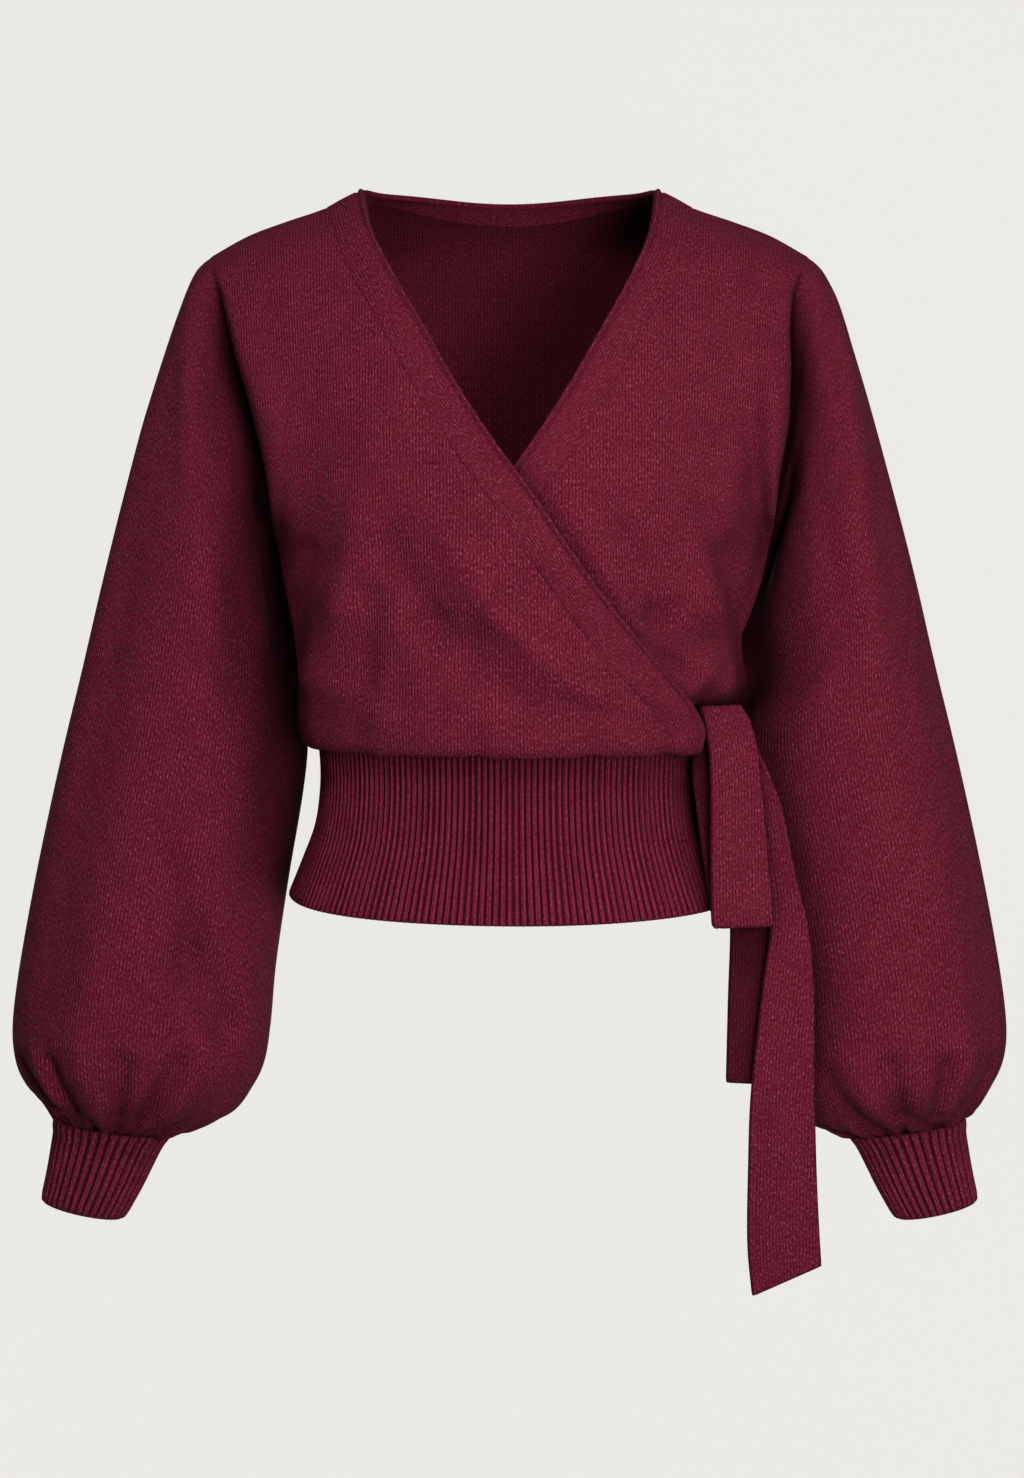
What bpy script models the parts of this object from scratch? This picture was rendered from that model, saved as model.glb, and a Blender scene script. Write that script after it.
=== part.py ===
"""Wrap top with bloused bodice, ribbed waist and cuffs, full bishop sleeves and a side tie.

Sizes are in millimetres and become metres when a mesh is made. +Z is up, the front faces -Y, and the
wearer's left is +X. The origin lies midway between the two points where the shoulders meet the neck.
Every piece of cloth is a wall: an outer grid of points and an inner grid, closed along the edges.
"""
import math

import bmesh
import bpy
import numpy as np

MM = 0.001
SEAM_GAP = 0.3          # space left between two pieces that are sewn together
CLOTH = 2.0             # wall of the plain knit
BAND_PROUD = 0.6        # the doubled neck band stands out this far
BAND_WIDTH = 23.0
LAP = 3.8               # from the outer front's face to the inner front's face where they lap
LAP_RUN = 60.0          # the lap offset changes over this distance each side of the middle
LAP_OVAL_X = 135.0      # the laps are parted level, square to an oval of these half widths
LAP_OVAL_Y = 105.0
FULLNESS = 0.42         # power that rounds a body section; 0.5 is an ellipse
NECK_WIDTH = 91.5       # half width of the neck at the shoulder
NECK_BACK = 55.0        # how far back the neck reaches
BACK_SEAM_DEPTH = 13.0  # the back band's width as seen from above
NECK_TURNS = np.linspace(-math.pi / 2, math.pi / 2, 15)
INNER_EDGE_SHIFT = 4.5  # the inner front's edge lies this far off the outer's mirror image
RIB_WALL = 2.4
RIB_HEIGHT = 0.6        # a crest stands out this far, a valley lies in as far
WAIST_RIBS = 76         # ribs on the back; the outer front has a share by its angle
CUFF_RIBS = 27
OUTER_END = 68.0        # degrees round the front where the outer waistband stops
PLAIN_STEPS = 26        # steps round a waistband's plain inside, and round the covered inner band
TIE_CLOTH = 3.0
SLEEVE_POINTS = 44      # points round a sleeve
CLOTH_COLOUR = (0.145, 0.013, 0.034, 1.0)
RIB_COLOUR = (0.120, 0.011, 0.029, 1.0)


def table(columns, rows):
    """Name the columns of a short table."""
    return {name: np.array(values, float) for name, values in zip(columns.split(), zip(*rows))}


# One row for each level from the shoulder seam (0) past the underarm (8) to the waist seam (16).
# right_x and left_x are the half widths on the wearer's two sides: the tied side is drawn fuller.
BODY = table("front_z front_y back_z back_y right_x left_x edge_z edge_front edge_back arc wrap_x", [
    (0, 0, 0, 0, 187, 187, -43.5, 0, 0, 45, -91.5),
    (-14, -24, -2, 26, 184.5, 182.5, -51, -17, 18, 45, -88.3),
    (-32, -43, -6, 54, 178, 175, -67, -33, 38, 48, -82.5),
    (-58, -63, -28, 76, 168, 169.5, -94, -46, 54, 52, -68.5),
    (-86, -79, -60, 87, 158.5, 167, -119, -54, 61, 56, -52),
    (-118, -93, -100, 94, 151, 165.5, -146, -56, 60, 60, -33.8),
    (-152, -103, -140, 98, 147.5, 163.5, -173, -49, 51, 68, -12),
    (-187, -110, -180, 100, 145.5, 162, -199, -31, 32, 80, 13.5),
    (-215, -113, -213, 99, 144, 161, -217, 0, 0, 90, 32),
    (-245, -114, -245, 97, 140.5, 156, -245, 0, 0, 90, 52.5),
    (-275, -113.5, -275, 95, 136, 145.5, -275, 0, 0, 90, 75.5),
    (-305, -111.5, -305, 94, 132.5, 145.5, -305, 0, 0, 90, 100),
    (-328, -108.5, -328, 93, 133.5, 148, -328, 0, 0, 90, 115),
    (-341, -105.5, -341, 91, 132, 145, -341, 0, 0, 90, 115.5),
    (-346.5, -101, -346.5, 87, 127.5, 139.5, -346.5, 0, 0, 90, 113),
    (-344.5, -97, -344.5, 84, 124.5, 128, -344.5, 0, 0, 90, 111.5),
    (-338, -94, -338, 82.5, 122.5, 122.5, -338, 0, 0, 90, 111)])

# The tied side hangs over less, because the tie holds it up: its own values for rows 10 to 16.
TIED = table("z front_y back_y wrap_x", [
    (-274, -113.5, 95, 74),
    (-291, -112.5, 94.5, 91),
    (-305, -110, 93, 103),
    (-313.5, -106.5, 91, 108),
    (-319.5, -101.5, 88, 111),
    (-323, -97.5, 85, 111),
    (-338, -94, 82.5, 111)])

WAIST = table("z half_width front back", [
    (-338.5, 120.8, 92.2, 80.8),
    (-352, 118.6, 89.5, 79),
    (-372, 118.2, 88.5, 78.5),
    (-397, 121.6, 91.5, 82),
    (-421, 130.5, 98.5, 90),
    (-440, 138.2, 104.5, 97)])
HEM_DROOP_FRONT = 7.0
HEM_DROOP_BACK = 3.0

# How far the shoulder has dropped, at even steps from the neck out to the armhole.
SHOULDER_SLOPE = np.array((0.02, 0.29, 0.48, 0.69, 1.0))
NECK_SHARE = 0.48

# One row for each ring of a sleeve: its outer and inner points, then its depth before and behind.
SLEEVE = table("x_out y_out z_out x_in y_in z_in front back", [
    (187, 0, -43.5, 144.5, 0, -217, 56, 60),
    (197, 2, -54.5, 145.3, 10, -225, 57, 60),
    (208.5, 4, -82, 143.8, 22, -240, 58, 60),
    (222, 6, -122, 139.8, 32, -260, 59, 61),
    (239.5, 9, -183, 134.8, 38, -288, 60, 62),
    (255.5, 12, -242, 131, 40, -318, 61, 63),
    (270, 15, -300, 129.2, 38, -350, 62, 64),
    (284.5, 17, -357, 132.5, 34, -383, 63, 65),
    (300, 18, -425, 141.3, 29, -435, 64, 67),
    (312, 18, -487, 149.5, 25, -490, 66, 68),
    (317.3, 18, -526, 153, 22, -528, 66, 67),
    (316, 17, -548.5, 157, 19, -553, 63, 64),
    (310, 16, -565, 165, 18, -570, 56, 57),
    (301, 15, -577, 180.5, 17, -586, 44, 45),
    (293.5, 14.5, -584.5, 205, 15.5, -595.5, 31, 32),
    (290.5, 14.5, -588, 218, 14.5, -598.5, 26, 26)])
# On the wearer's left the armhole stands further out: the inner points of its first rings.
LEFT_X_IN = (161, 164.5, 161, 154, 147, 150.5, 131, 130)
LEFT_SLEEVE = dict(SLEEVE, x_in=np.concatenate([LEFT_X_IN, SLEEVE["x_in"][len(LEFT_X_IN):]]))
SLEEVE_ROWS = (0, 0.5, 1, 2, 3, 4, 5, 6, 7, 8, 9, 10, 10.8, 11.5, 12.2, 12.9, 13.6, 14.3, 15)
SLEEVE_INSIDE_ROWS = (0, 0.6, 2, 4, 6, 8, 10, 11.5, 12.9, 14.3, 15)

CUFF = table("x_out y_out z_out x_in y_in z_in front back", [
    (290, 14.5, -588.6, 218.6, 14.5, -599.2, 25.6, 25.6),
    (292.5, 14, -605, 226.5, 14, -614, 24.5, 24.5),
    (295.5, 13.5, -622, 236, 13.5, -633, 23, 23),
    (299.5, 13, -640.5, 247, 13, -652.5, 20.5, 20.5)])

# Soft folds of the bodice: a ridge (or valley, below zero) along a line in the front view.
OUTER_FOLDS = table("x_start z_start x_end z_end width height", [
    (-94, -227, -121, -294, 20, 3.0),
    (-6, -235, 62, -312, 17, 2.5),
    (-70, -150, -100, -190, 24, 1.5)])
INNER_FOLDS = table("x_start z_start x_end z_end width height", [
    (111, -221, 121, -258, 11, 2.5),
    (121, -258, 133, -290, 12, 3.5),
    (136, -228, 139, -262, 10, -2.5),
    (90, -262, 104, -292, 12, -3.5),
    (116, -298, 128, -305, 11, 4.0)])
BACK_FOLDS = table("x_start z_start x_end z_end width height", [
    (100, -240, 118, -300, 20, 3.0),
    (-102, -232, -116, -290, 20, 2.5),
    (20, -270, 85, -312, 20, 2.0),
    (-60, -280, -15, -325, 22, 1.5)])

# Folds of a sleeve, by degrees round it (0 outside, 90 front, 180 inside) and by ring.
LEFT_SLEEVE_FOLDS = table("angle_start row_start angle_end row_end width height", [
    (62, 2.5, 66, 8, 16, 3.0),
    (118, 1.5, 128, 6, 16, 2.0),
    (95, 7.5, 100, 10.5, 18, -1.5),
    (250, 2, 262, 7.5, 20, 2.5),
    (300, 4, 290, 10, 20, 2.0)])
RIGHT_SLEEVE_FOLDS = table("angle_start row_start angle_end row_end width height", [
    (78, 3, 70, 9.5, 20, 3.0),
    (128, 2, 122, 6.5, 16, 2.0),
    (42, 5, 50, 9, 18, -1.5),
    (258, 2.5, 250, 8, 20, 2.5),
    (312, 4, 300, 9.5, 20, 2.0)])
GATHERS = table("angle width height", [
    (14, 12, 3.5), (50, 14, 4.5), (88, 12, 3.8), (122, 13, 4.6), (160, 12, 3.6),
    (202, 13, 4.2), (240, 13, 3.8), (282, 14, 4.6), (322, 12, 4.0)])
ARM_WAY = (0.96, 0.0, -0.27)    # the way the arm goes at the armhole
GATHER_LEAN = 8.0       # degrees that a gather drifts while it fades upward
GATHER_SHIFT = 17.0     # the right sleeve's gathers are turned by this much

TIE_COLUMNS = "z_left z_right x_left x_right y_left y_right"
TIE_LOOP = table(TIE_COLUMNS, [
    (-319, -319.5, 117, 142, -61, -48),
    (-326, -326.5, 119, 146.5, -62.5, -50.5),
    (-337, -336, 121.3, 149.5, -63.5, -53),
    (-352, -351, 123.3, 152.5, -67, -56),
    (-378, -378, 123.8, 155, -70, -60),
    (-410, -410, 123.8, 158, -72, -62.5),
    (-447, -447, 124.5, 161, -74, -65),
    (-453, -453, 126, 160.5, -70, -61),
    (-447, -447, 125, 160.5, -65, -56.5),
    (-420, -420, 121, 158.5, -63.5, -55.5),
    (-380, -380, 115.5, 153, -60, -53),
    (-353, -353, 113.5, 146, -57.5, -50),
    (-341, -341, 120.5, 142, -54.5, -48.5)])
TIE_LONG = table(TIE_COLUMNS, [
    (-330, -331, 136.8, 146, -45, -44.5),
    (-346, -346, 141, 152.5, -45, -44),
    (-362, -362, 146, 160, -46.5, -45),
    (-385, -385, 152, 168, -48, -46.5),
    (-423, -423, 159.5, 176, -50, -48),
    (-456, -456, 162, 184, -51, -49),
    (-498, -498, 157, 188, -51, -50),
    (-560, -560, 151, 188.5, -51, -50),
    (-610, -610, 149.6, 190, -50, -50),
    (-655, -648, 149.5, 192, -49, -50),
    (-688, -669, 152.5, 193.5, -48, -50)])
TIE_SHORT = table(TIE_COLUMNS, [
    (-338, -338, 122, 134, -38.2, -37.5),
    (-375, -375, 131.5, 149, -41, -39),
    (-410, -410, 136, 160, -42.5, -40.5),
    (-457, -457, 138, 169, -44, -42),
    (-500, -500, 137, 172, -44, -42),
    (-554, -556, 136, 173, -43, -42)])
KNOT_MID = (125.8, -45.0, -337.0)
KNOT_HALF = (10.5, 4.8, 11.0)
KNOT_BLOCK = 0.6        # power on each direction; 1 is a plain ball


# ---------------------------------------------------------------- curves and walls

def along(column, row):
    """Smooth curve through a table column, read at fractional rows (Catmull-Rom)."""
    row = np.clip(np.asarray(row, float), 0, len(column) - 1)
    low = np.minimum(row.astype(int), len(column) - 2)
    f = row - low
    ends = (2 * column[0] - column[1], 2 * column[-1] - column[-2])
    p = np.concatenate([[ends[0]], column, [ends[1]]])
    a, b, c, d = p[low], p[low + 1], p[low + 2], p[low + 3]
    return b + 0.5 * f * (c - a + f * (2 * a - 5 * b + 4 * c - d + f * (3 * (b - c) + d - a)))


def smooth(value, start, end):
    """Go softly from 0 at start to 1 at end."""
    s = np.clip((np.asarray(value, float) - start) / (end - start), 0, 1)
    return s * s * (3 - 2 * s)


def fold_height(folds, across, down):
    """Height of bell-shaped ridges that lie along straight lines in the plane (across, down)."""
    names = list(folds)
    height = np.zeros(np.broadcast(across, down).shape)
    for x0, z0, x1, z1, width, tall in zip(*(folds[name] for name in names)):
        run = np.array((x1 - x0, z1 - z0))
        part = np.clip(((across - x0) * run[0] + (down - z0) * run[1]) / (run @ run), 0, 1)
        far = np.hypot(across - x0 - part * run[0], down - z0 - part * run[1])
        height += tall * np.exp(-(far / width) ** 2)
    return height


def bridge(a, b):
    """Triangles between two lines of corners whose counts may differ."""
    faces = []
    i = j = 0
    while i < len(a) - 1 or j < len(b) - 1:
        step_a = (i + 1) / max(len(a) - 1, 1)
        step_b = (j + 1) / max(len(b) - 1, 1)
        if j == len(b) - 1 or (i < len(a) - 1 and step_a <= step_b):
            faces.append((a[i], a[i + 1], b[j]))
            i += 1
        else:
            faces.append((a[i], b[j + 1], b[j]))
            j += 1
    return faces


def grid_faces(ids, points):
    """Two triangles for each cell of a grid of corner numbers, cut along the shorter diagonal."""
    faces = []
    for upper, lower in zip(ids[:-1], ids[1:]):
        for k in range(len(upper) - 1):
            a, b, c, d = upper[k], upper[k + 1], lower[k + 1], lower[k]
            if np.linalg.norm(points[a] - points[c]) <= np.linalg.norm(points[b] - points[d]):
                faces += [(a, b, c), (a, c, d)]
            else:
                faces += [(a, b, d), (b, c, d)]
    return faces


def make_material(name, colour):
    """Plain knit colour for a piece of its own."""
    material = bpy.data.materials.new(name)
    material.use_nodes = True
    shader = material.node_tree.nodes["Principled BSDF"]
    shader.inputs["Base Color"].default_value = colour
    shader.inputs["Roughness"].default_value = 0.9
    shader.inputs["Metallic"].default_value = 0.0
    return material


def make_object(name, points, faces, colour=CLOTH_COLOUR):
    """Turn points in millimetres and faces into one closed object that faces outwards."""
    mesh = bpy.data.meshes.new(name)
    mesh.from_pydata((np.asarray(points) * MM).tolist(), [], faces)
    shape = bmesh.new()
    shape.from_mesh(mesh)
    bmesh.ops.recalc_face_normals(shape, faces=shape.faces)
    if shape.calc_volume(signed=True) < 0:
        bmesh.ops.reverse_faces(shape, faces=shape.faces)
    shape.to_mesh(mesh)
    shape.free()
    mesh.shade_smooth()
    mesh.set_sharp_from_angle(angle=math.radians(50))
    mesh.materials.append(make_material(name + "_knit", colour))
    piece = bpy.data.objects.new(name, mesh)
    bpy.context.scene.collection.objects.link(piece)
    return piece


def make_wall(name, outer, inner, tube=False, colour=CLOTH_COLOUR):
    """Close an outer and an inner grid of points (rows, columns, 3) into one wall.

    A tube's columns run all the way round, and its two ends stay open as rings.
    """
    rows, columns = outer.shape[:2]
    outer_ids = np.arange(rows * columns).reshape(rows, columns)
    inner_ids = rows * columns + np.arange(inner.shape[0] * inner.shape[1]).reshape(inner.shape[:2])
    if tube:
        outer_ids = np.hstack([outer_ids, outer_ids[:, :1]])
        inner_ids = np.hstack([inner_ids, inner_ids[:, :1]])
    outer_ids = outer_ids.tolist()
    inner_ids = inner_ids.tolist()
    points = np.vstack([outer.reshape(-1, 3), inner.reshape(-1, 3)])
    faces = grid_faces(outer_ids, points) + grid_faces(inner_ids, points)
    faces += bridge(outer_ids[0], inner_ids[0]) + bridge(outer_ids[-1], inner_ids[-1])
    if not tube:
        for side in (0, -1):
            faces += bridge([row[side] for row in outer_ids], [row[side] for row in inner_ids])
    return make_object(name, points, faces, colour)


# ---------------------------------------------------------------- the bodice's surfaces

def tied_column(name, row, tied):
    """A body column, changed to the tied side's values by the share tied (0 to 1)."""
    plain = along(BODY[name], row)
    own = "z" if name.endswith("_z") else name
    if own not in TIED:
        return plain
    changed = along(TIED[own], np.asarray(row) - 10.0)
    return plain + (changed - plain) * tied * smooth(row, 9.0, 10.5)


def half_width(row, left):
    """Half width of a row: the wearer's right side, turned into the left by the share left."""
    right = along(BODY["right_x"], row)
    return right + (along(BODY["left_x"], row) - right) * left


def body_point(u, row, side, tied):
    """Point on the bodice: u runs from -1 (wearer's right) to 1, row runs down, side is front or back.

    Across a row, x follows a sine of the arc and the depth follows a rounded power of it, so the row
    bends most at the sides. The shoulder's slope grows from the neck out to the armhole.
    """
    u, row = np.broadcast_arrays(np.asarray(u, float), np.asarray(row, float))
    arc = np.radians(along(BODY["arc"], row))
    reach = np.sin(arc * u) / np.sin(arc)
    bend = np.sin(arc) ** 2
    least = np.maximum(1 - bend, 0) ** FULLNESS
    depth = (np.maximum(1 - bend * reach ** 2, 0) ** FULLNESS - least) / (1 - least)
    mid_y = tied_column(side + "_y", row, tied)
    mid_z = tied_column(side + "_z", row, tied)
    edge_y = along(BODY["edge_" + side], row)
    edge_z = tied_column("edge_z", row, tied)
    slope = along(SHOULDER_SLOPE, (np.abs(reach) - NECK_SHARE) / (1 - NECK_SHARE) * 4)
    x = half_width(row, smooth(u, 0.0, 1.0)) * reach
    y = edge_y + (mid_y - edge_y) * depth
    z = mid_z + (edge_z - mid_z) * slope
    return np.stack([x, y, z], axis=-1)


def front_surface(layer):
    """The front's surface for the outer layer (0) or the inner, tied one (1)."""
    def surface(u, row):
        point = body_point(u, row, "front", layer)
        return point - np.array((0, SEAM_GAP / 2, 0))
    return surface


def back_surface(u, row):
    """The back's surface: the tied profile grows in towards the wearer's left."""
    point = body_point(u, row, "back", smooth(u, 0.0, 1.0))
    return point + np.array((0, SEAM_GAP / 2, 0))


def outward(surface, u, row, front):
    """Unit normal of a surface. Along the shoulder and side seams it stays square to the seam."""
    u, row = np.broadcast_arrays(np.asarray(u, float), np.asarray(row, float))
    step = 1e-3
    across = surface(np.minimum(u + step, 1), row) - surface(np.maximum(u - step, -1), row)
    down = surface(u, row + step) - surface(u, row - step)
    normal = np.cross(down, across) if front else np.cross(across, down)
    seam = (row <= 0) | ((np.abs(u) >= 1) & (row >= 8))
    normal[..., 1] = np.where(seam, 0, normal[..., 1])
    return normal / np.linalg.norm(normal, axis=-1, keepdims=True)


def fold_share(u, row):
    """Folds die away at the side seams, where two pieces meet, and where the blouse turns under."""
    return (1 - smooth(np.abs(u), 0.75, 1.0)) * (1 - smooth(row, 12.5, 14))


def lap_offset(x, layer):
    """How far a front's face is moved out (outer layer) or in (inner layer) so that the two lap."""
    share = smooth(x, -LAP_RUN, LAP_RUN)
    return LAP * (share if layer == 0 else share - 1)


def front_at(u, row, layer, lift=0.0):
    """A front's point with its lap offset and folds, moved out by lift."""
    surface = front_surface(layer)
    point = surface(u, row)
    folds = OUTER_FOLDS if layer == 0 else INNER_FOLDS
    height = fold_height(folds, point[..., 0], point[..., 2]) * fold_share(u, row) + lift
    level = point[..., :2] / np.array((LAP_OVAL_X, LAP_OVAL_Y)) ** 2
    level /= np.linalg.norm(level, axis=-1, keepdims=True)
    lap = lap_offset(point[..., 0], layer)
    moved = point + outward(surface, u, row, True) * height[..., None]
    moved[..., :2] += level * lap[..., None]
    return moved


def back_at(u, row, lift=0.0):
    """A back point with its folds, moved out by lift."""
    point = back_surface(u, row)
    height = fold_height(BACK_FOLDS, point[..., 0], point[..., 2]) * fold_share(u, row)
    return point + outward(back_surface, u, row, False) * (height + lift)[..., None]


def u_for_x(x, row):
    """Where along a row the surface reaches the given x: a few steps of the sine's inverse."""
    arc = np.radians(along(BODY["arc"], row))
    u = np.zeros(np.broadcast(x, row).shape)
    for _ in range(12):
        reach = np.clip(x / half_width(row, smooth(u, 0.0, 1.0)), -1, 1)
        u = np.arcsin(reach * np.sin(arc)) / arc
    return u


def wrap_u(row, layer):
    """The wrapped edge of a front on each row: the outer's table, mirrored for the inner front."""
    x = tied_column("wrap_x", row, layer)
    inner = INNER_EDGE_SHIFT * smooth(row, 0, 4) - x
    return u_for_x(x if layer == 0 else inner, row)


def neck_line(width):
    """Columns and rows of the line on the back that lies width outside the neck's edge."""
    x = (NECK_WIDTH + width) * np.sin(NECK_TURNS)
    y = (NECK_BACK + BACK_SEAM_DEPTH * width / BAND_WIDTH) * np.cos(NECK_TURNS)
    u, row = back_u_at(x, y)
    row[[0, -1]] = 0.0
    return u, row


def band_seam_u(row, layer, width):
    """The line on a front that lies width from the wrapped edge, found by halving the way to it.

    The edge goes on round the back neck, so the line meets the shoulder seam in the right place.
    """
    if width == 0:
        return wrap_u(row, layer)
    surface = front_surface(layer)
    fine = np.linspace(0, 16, 321)
    neck_u, neck_row = neck_line(0.0)
    edge = np.vstack([surface(wrap_u(fine, layer), fine), back_surface(neck_u, neck_row)])
    low = wrap_u(row, layer)
    high = low + (-0.7 if layer == 0 else 0.7)
    for _ in range(30):
        middle = (low + high) / 2
        far = np.linalg.norm(surface(middle, row)[:, None] - edge[None], axis=-1).min(axis=1)
        low = np.where(far < width, middle, low)
        high = np.where(far < width, high, middle)
    corner = np.abs(u_for_x(NECK_WIDTH + width, np.zeros(1))) * (-1 if layer == 0 else 1)
    return np.where(row <= 0, corner, low)


def back_u_at(x, y):
    """Column and row of the back at a place seen from above."""
    low = np.zeros_like(x)
    high = np.full_like(x, 4.0)
    for _ in range(40):
        row = (low + high) / 2
        u = u_for_x(x, row)
        inside = back_surface(u, row)[..., 1] < y
        low = np.where(inside, row, low)
        high = np.where(inside, high, row)
    return u, low


# ---------------------------------------------------------------- body pieces

HALF_RING = SLEEVE_POINTS // 4
ROWS_ABOVE = np.linspace(0, 8, HALF_RING + 1)
ROWS_BELOW = np.array((9, 10, 11, 12, 12.7, 13.3, 14, 14.7, 15.4, 16.0))
BODY_ROWS = np.concatenate([ROWS_ABOVE, ROWS_BELOW])
FRONT_COLUMNS = 13


def make_front(name, layer):
    """A front: side seam and armhole on one side, the band's seam on the other."""
    side = -1.0 if layer == 0 else 1.0
    seam = band_seam_u(BODY_ROWS, layer, BAND_WIDTH + 1.8 * SEAM_GAP)
    share = np.linspace(0, 1, FRONT_COLUMNS + 1)
    u = side + (seam - side)[:, None] * share[None, :]
    row = np.repeat(BODY_ROWS[:, None], FRONT_COLUMNS + 1, axis=1)
    return make_wall(name, front_at(u, row, layer), front_at(u, row, layer, -CLOTH))


def make_back(name):
    """The back: its top follows the shoulder seams and the seam of the neck band."""
    neck_u, neck_row = neck_line(BAND_WIDTH + 1.8 * SEAM_GAP)
    left = np.linspace(-1, neck_u[0], 4)[:-1]
    columns = np.concatenate([left, neck_u, -left[::-1]])
    top = np.concatenate([0 * left, neck_row, 0 * left])
    fade = np.clip(1 - BODY_ROWS / 8, 0, 1)
    row = BODY_ROWS[:, None] + fade[:, None] * top[None, :]
    u = np.repeat(columns[None, :], len(BODY_ROWS), axis=0)
    return make_wall(name, back_at(u, row), back_at(u, row, -CLOTH))


def band_line(width, lift):
    """One line of the neck band, width inside its edge: outer front, back neck, inner front."""
    rows = BODY_ROWS[::-1][:-1]
    outer = front_at(band_seam_u(rows, 0, width), rows, 0, lift)
    u, row = neck_line(width)
    back = back_at(u, row, lift)
    rows = BODY_ROWS[1:]
    inner = front_at(band_seam_u(rows, 1, width), rows, 1, lift)
    return np.vstack([outer, back, inner])


def make_neck_band(name):
    """The doubled band: one strip up the outer front, round the back neck and down the inner front."""
    widths = (0.0, BAND_WIDTH / 2, BAND_WIDTH)
    outer = np.stack([band_line(width, BAND_PROUD) for width in widths], axis=1)
    inner = np.stack([band_line(width, -CLOTH) for width in widths], axis=1)
    return make_wall(name, outer, inner)


# ---------------------------------------------------------------- waistband

def waist_point(turn, row, side, layer=None):
    """Point of the waist's section: turn is the angle from the middle, positive to the wearer's left."""
    half = along(WAIST["half_width"], row)
    deep = along(WAIST[side], row)
    sign = -1 if side == "front" else 1
    droop = HEM_DROOP_FRONT if side == "front" else HEM_DROOP_BACK
    x = half * np.sin(turn)
    rounded = np.maximum(np.cos(turn), 0) ** (2 * FULLNESS)
    y = sign * (deep * rounded + SEAM_GAP / 2)
    z = along(WAIST["z"], row) - droop * rounded * smooth(row, 0, 5)
    point = np.stack(np.broadcast_arrays(x, y, z), axis=-1)
    facing = np.stack(np.broadcast_arrays(np.sin(turn) / half, sign * np.cos(turn) / deep,
                                          0.0 * z), axis=-1)
    facing /= np.linalg.norm(facing, axis=-1, keepdims=True)
    if layer is not None:
        point = point + facing * lap_offset(x, layer)[..., None]
    return point, facing


def even_turns(start, end, count):
    """Angles that space count + 1 points evenly round the waist's section."""
    fine = np.radians(np.linspace(start, end, 721))
    point, _ = waist_point(fine, 3.0, "front")
    length = np.concatenate([[0], np.cumsum(np.linalg.norm(np.diff(point, axis=0), axis=1))])
    return np.interp(np.linspace(0, length[-1], count + 1), length, fine)


def make_waistband(name, side, start, end, ribs, layer=None):
    """A waistband: crests and valleys are in the outer points, and the inside is plain.

    With no ribs the outer points stay at the valleys' level.
    """
    rows = np.array((0, 1.2, 2.6, 4.0, 5.0))
    steps = ribs * 2 if ribs else PLAIN_STEPS
    wave = np.where(np.arange(steps + 1) % 2 == 0, -1.0, 1.0 if ribs else -1.0)
    turn, row = np.meshgrid(even_turns(start, end, steps), rows)
    point, facing = waist_point(turn, row, side, layer)
    height = wave[None, :] * RIB_HEIGHT * smooth(row, -0.2, 0.6)
    outer = point + facing * height[..., None]
    turn, row = np.meshgrid(even_turns(start, end, PLAIN_STEPS), rows[[0, 2, 3, 4]])
    point, facing = waist_point(turn, row, side, layer)
    return make_wall(name, outer, point - facing * RIB_WALL, colour=RIB_COLOUR)


# ---------------------------------------------------------------- sleeves and cuffs

def armhole_loop(angle, half):
    """An armhole, by degrees: 0 at the shoulder, 90 front, 180 underarm; half is its width column."""
    angle = np.asarray(angle, float) % 360
    front = angle <= 180
    row = np.where(front, angle, 360 - angle) / 180 * 8
    y = np.where(front, along(BODY["edge_front"], row), along(BODY["edge_back"], row))
    return np.stack([along(BODY[half], row), y, along(BODY["edge_z"], row)], axis=-1)


def ring_point(rings, angle, row):
    """Point of a tilted oval ring; its long axis joins the ring's outer and inner points."""
    turn = np.radians(angle)
    out = np.stack([along(rings[key + "_out"], row) for key in "xyz"], axis=-1)
    inside = np.stack([along(rings[key + "_in"], row) for key in "xyz"], axis=-1)
    deep = np.where(np.sin(turn) > 0, -along(rings["front"], row), along(rings["back"], row))
    point = (out + inside) / 2 + (out - inside) / 2 * np.cos(turn)[..., None]
    point[..., 1] += deep * np.abs(np.sin(turn))
    return point


def sleeve_base(left, angle, row):
    """A sleeve's surface without folds: the armhole's own loop turns into oval rings."""
    rings, half = (LEFT_SLEEVE, "left_x") if left else (SLEEVE, "right_x")
    angle, row = np.broadcast_arrays(np.asarray(angle, float), np.asarray(row, float))
    loop = armhole_loop(angle, half) - ring_point(rings, angle, np.zeros_like(row))
    return ring_point(rings, angle, row) + loop * (1 - smooth(row, 0, 4.5))[..., None]


def sleeve_normal(left, angle, row):
    """Unit normal of a sleeve's surface, pointing away from the arm."""
    step = 1e-2
    around = sleeve_base(left, angle + step * 10, row) - sleeve_base(left, angle - step * 10, row)
    down = sleeve_base(left, angle, row + step) - sleeve_base(left, angle, row - step)
    normal = np.cross(around, down)
    return normal / np.linalg.norm(normal, axis=-1, keepdims=True)


def wrapped_folds(folds, angle, row):
    """Folds measured round the sleeve; one ring's distance counts as 20 degrees."""
    scaled = dict(folds, row_start=folds["row_start"] * 20, row_end=folds["row_end"] * 20)
    return sum(fold_height(scaled, angle + turn, row * 20) for turn in (-360.0, 0.0, 360.0))


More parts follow.
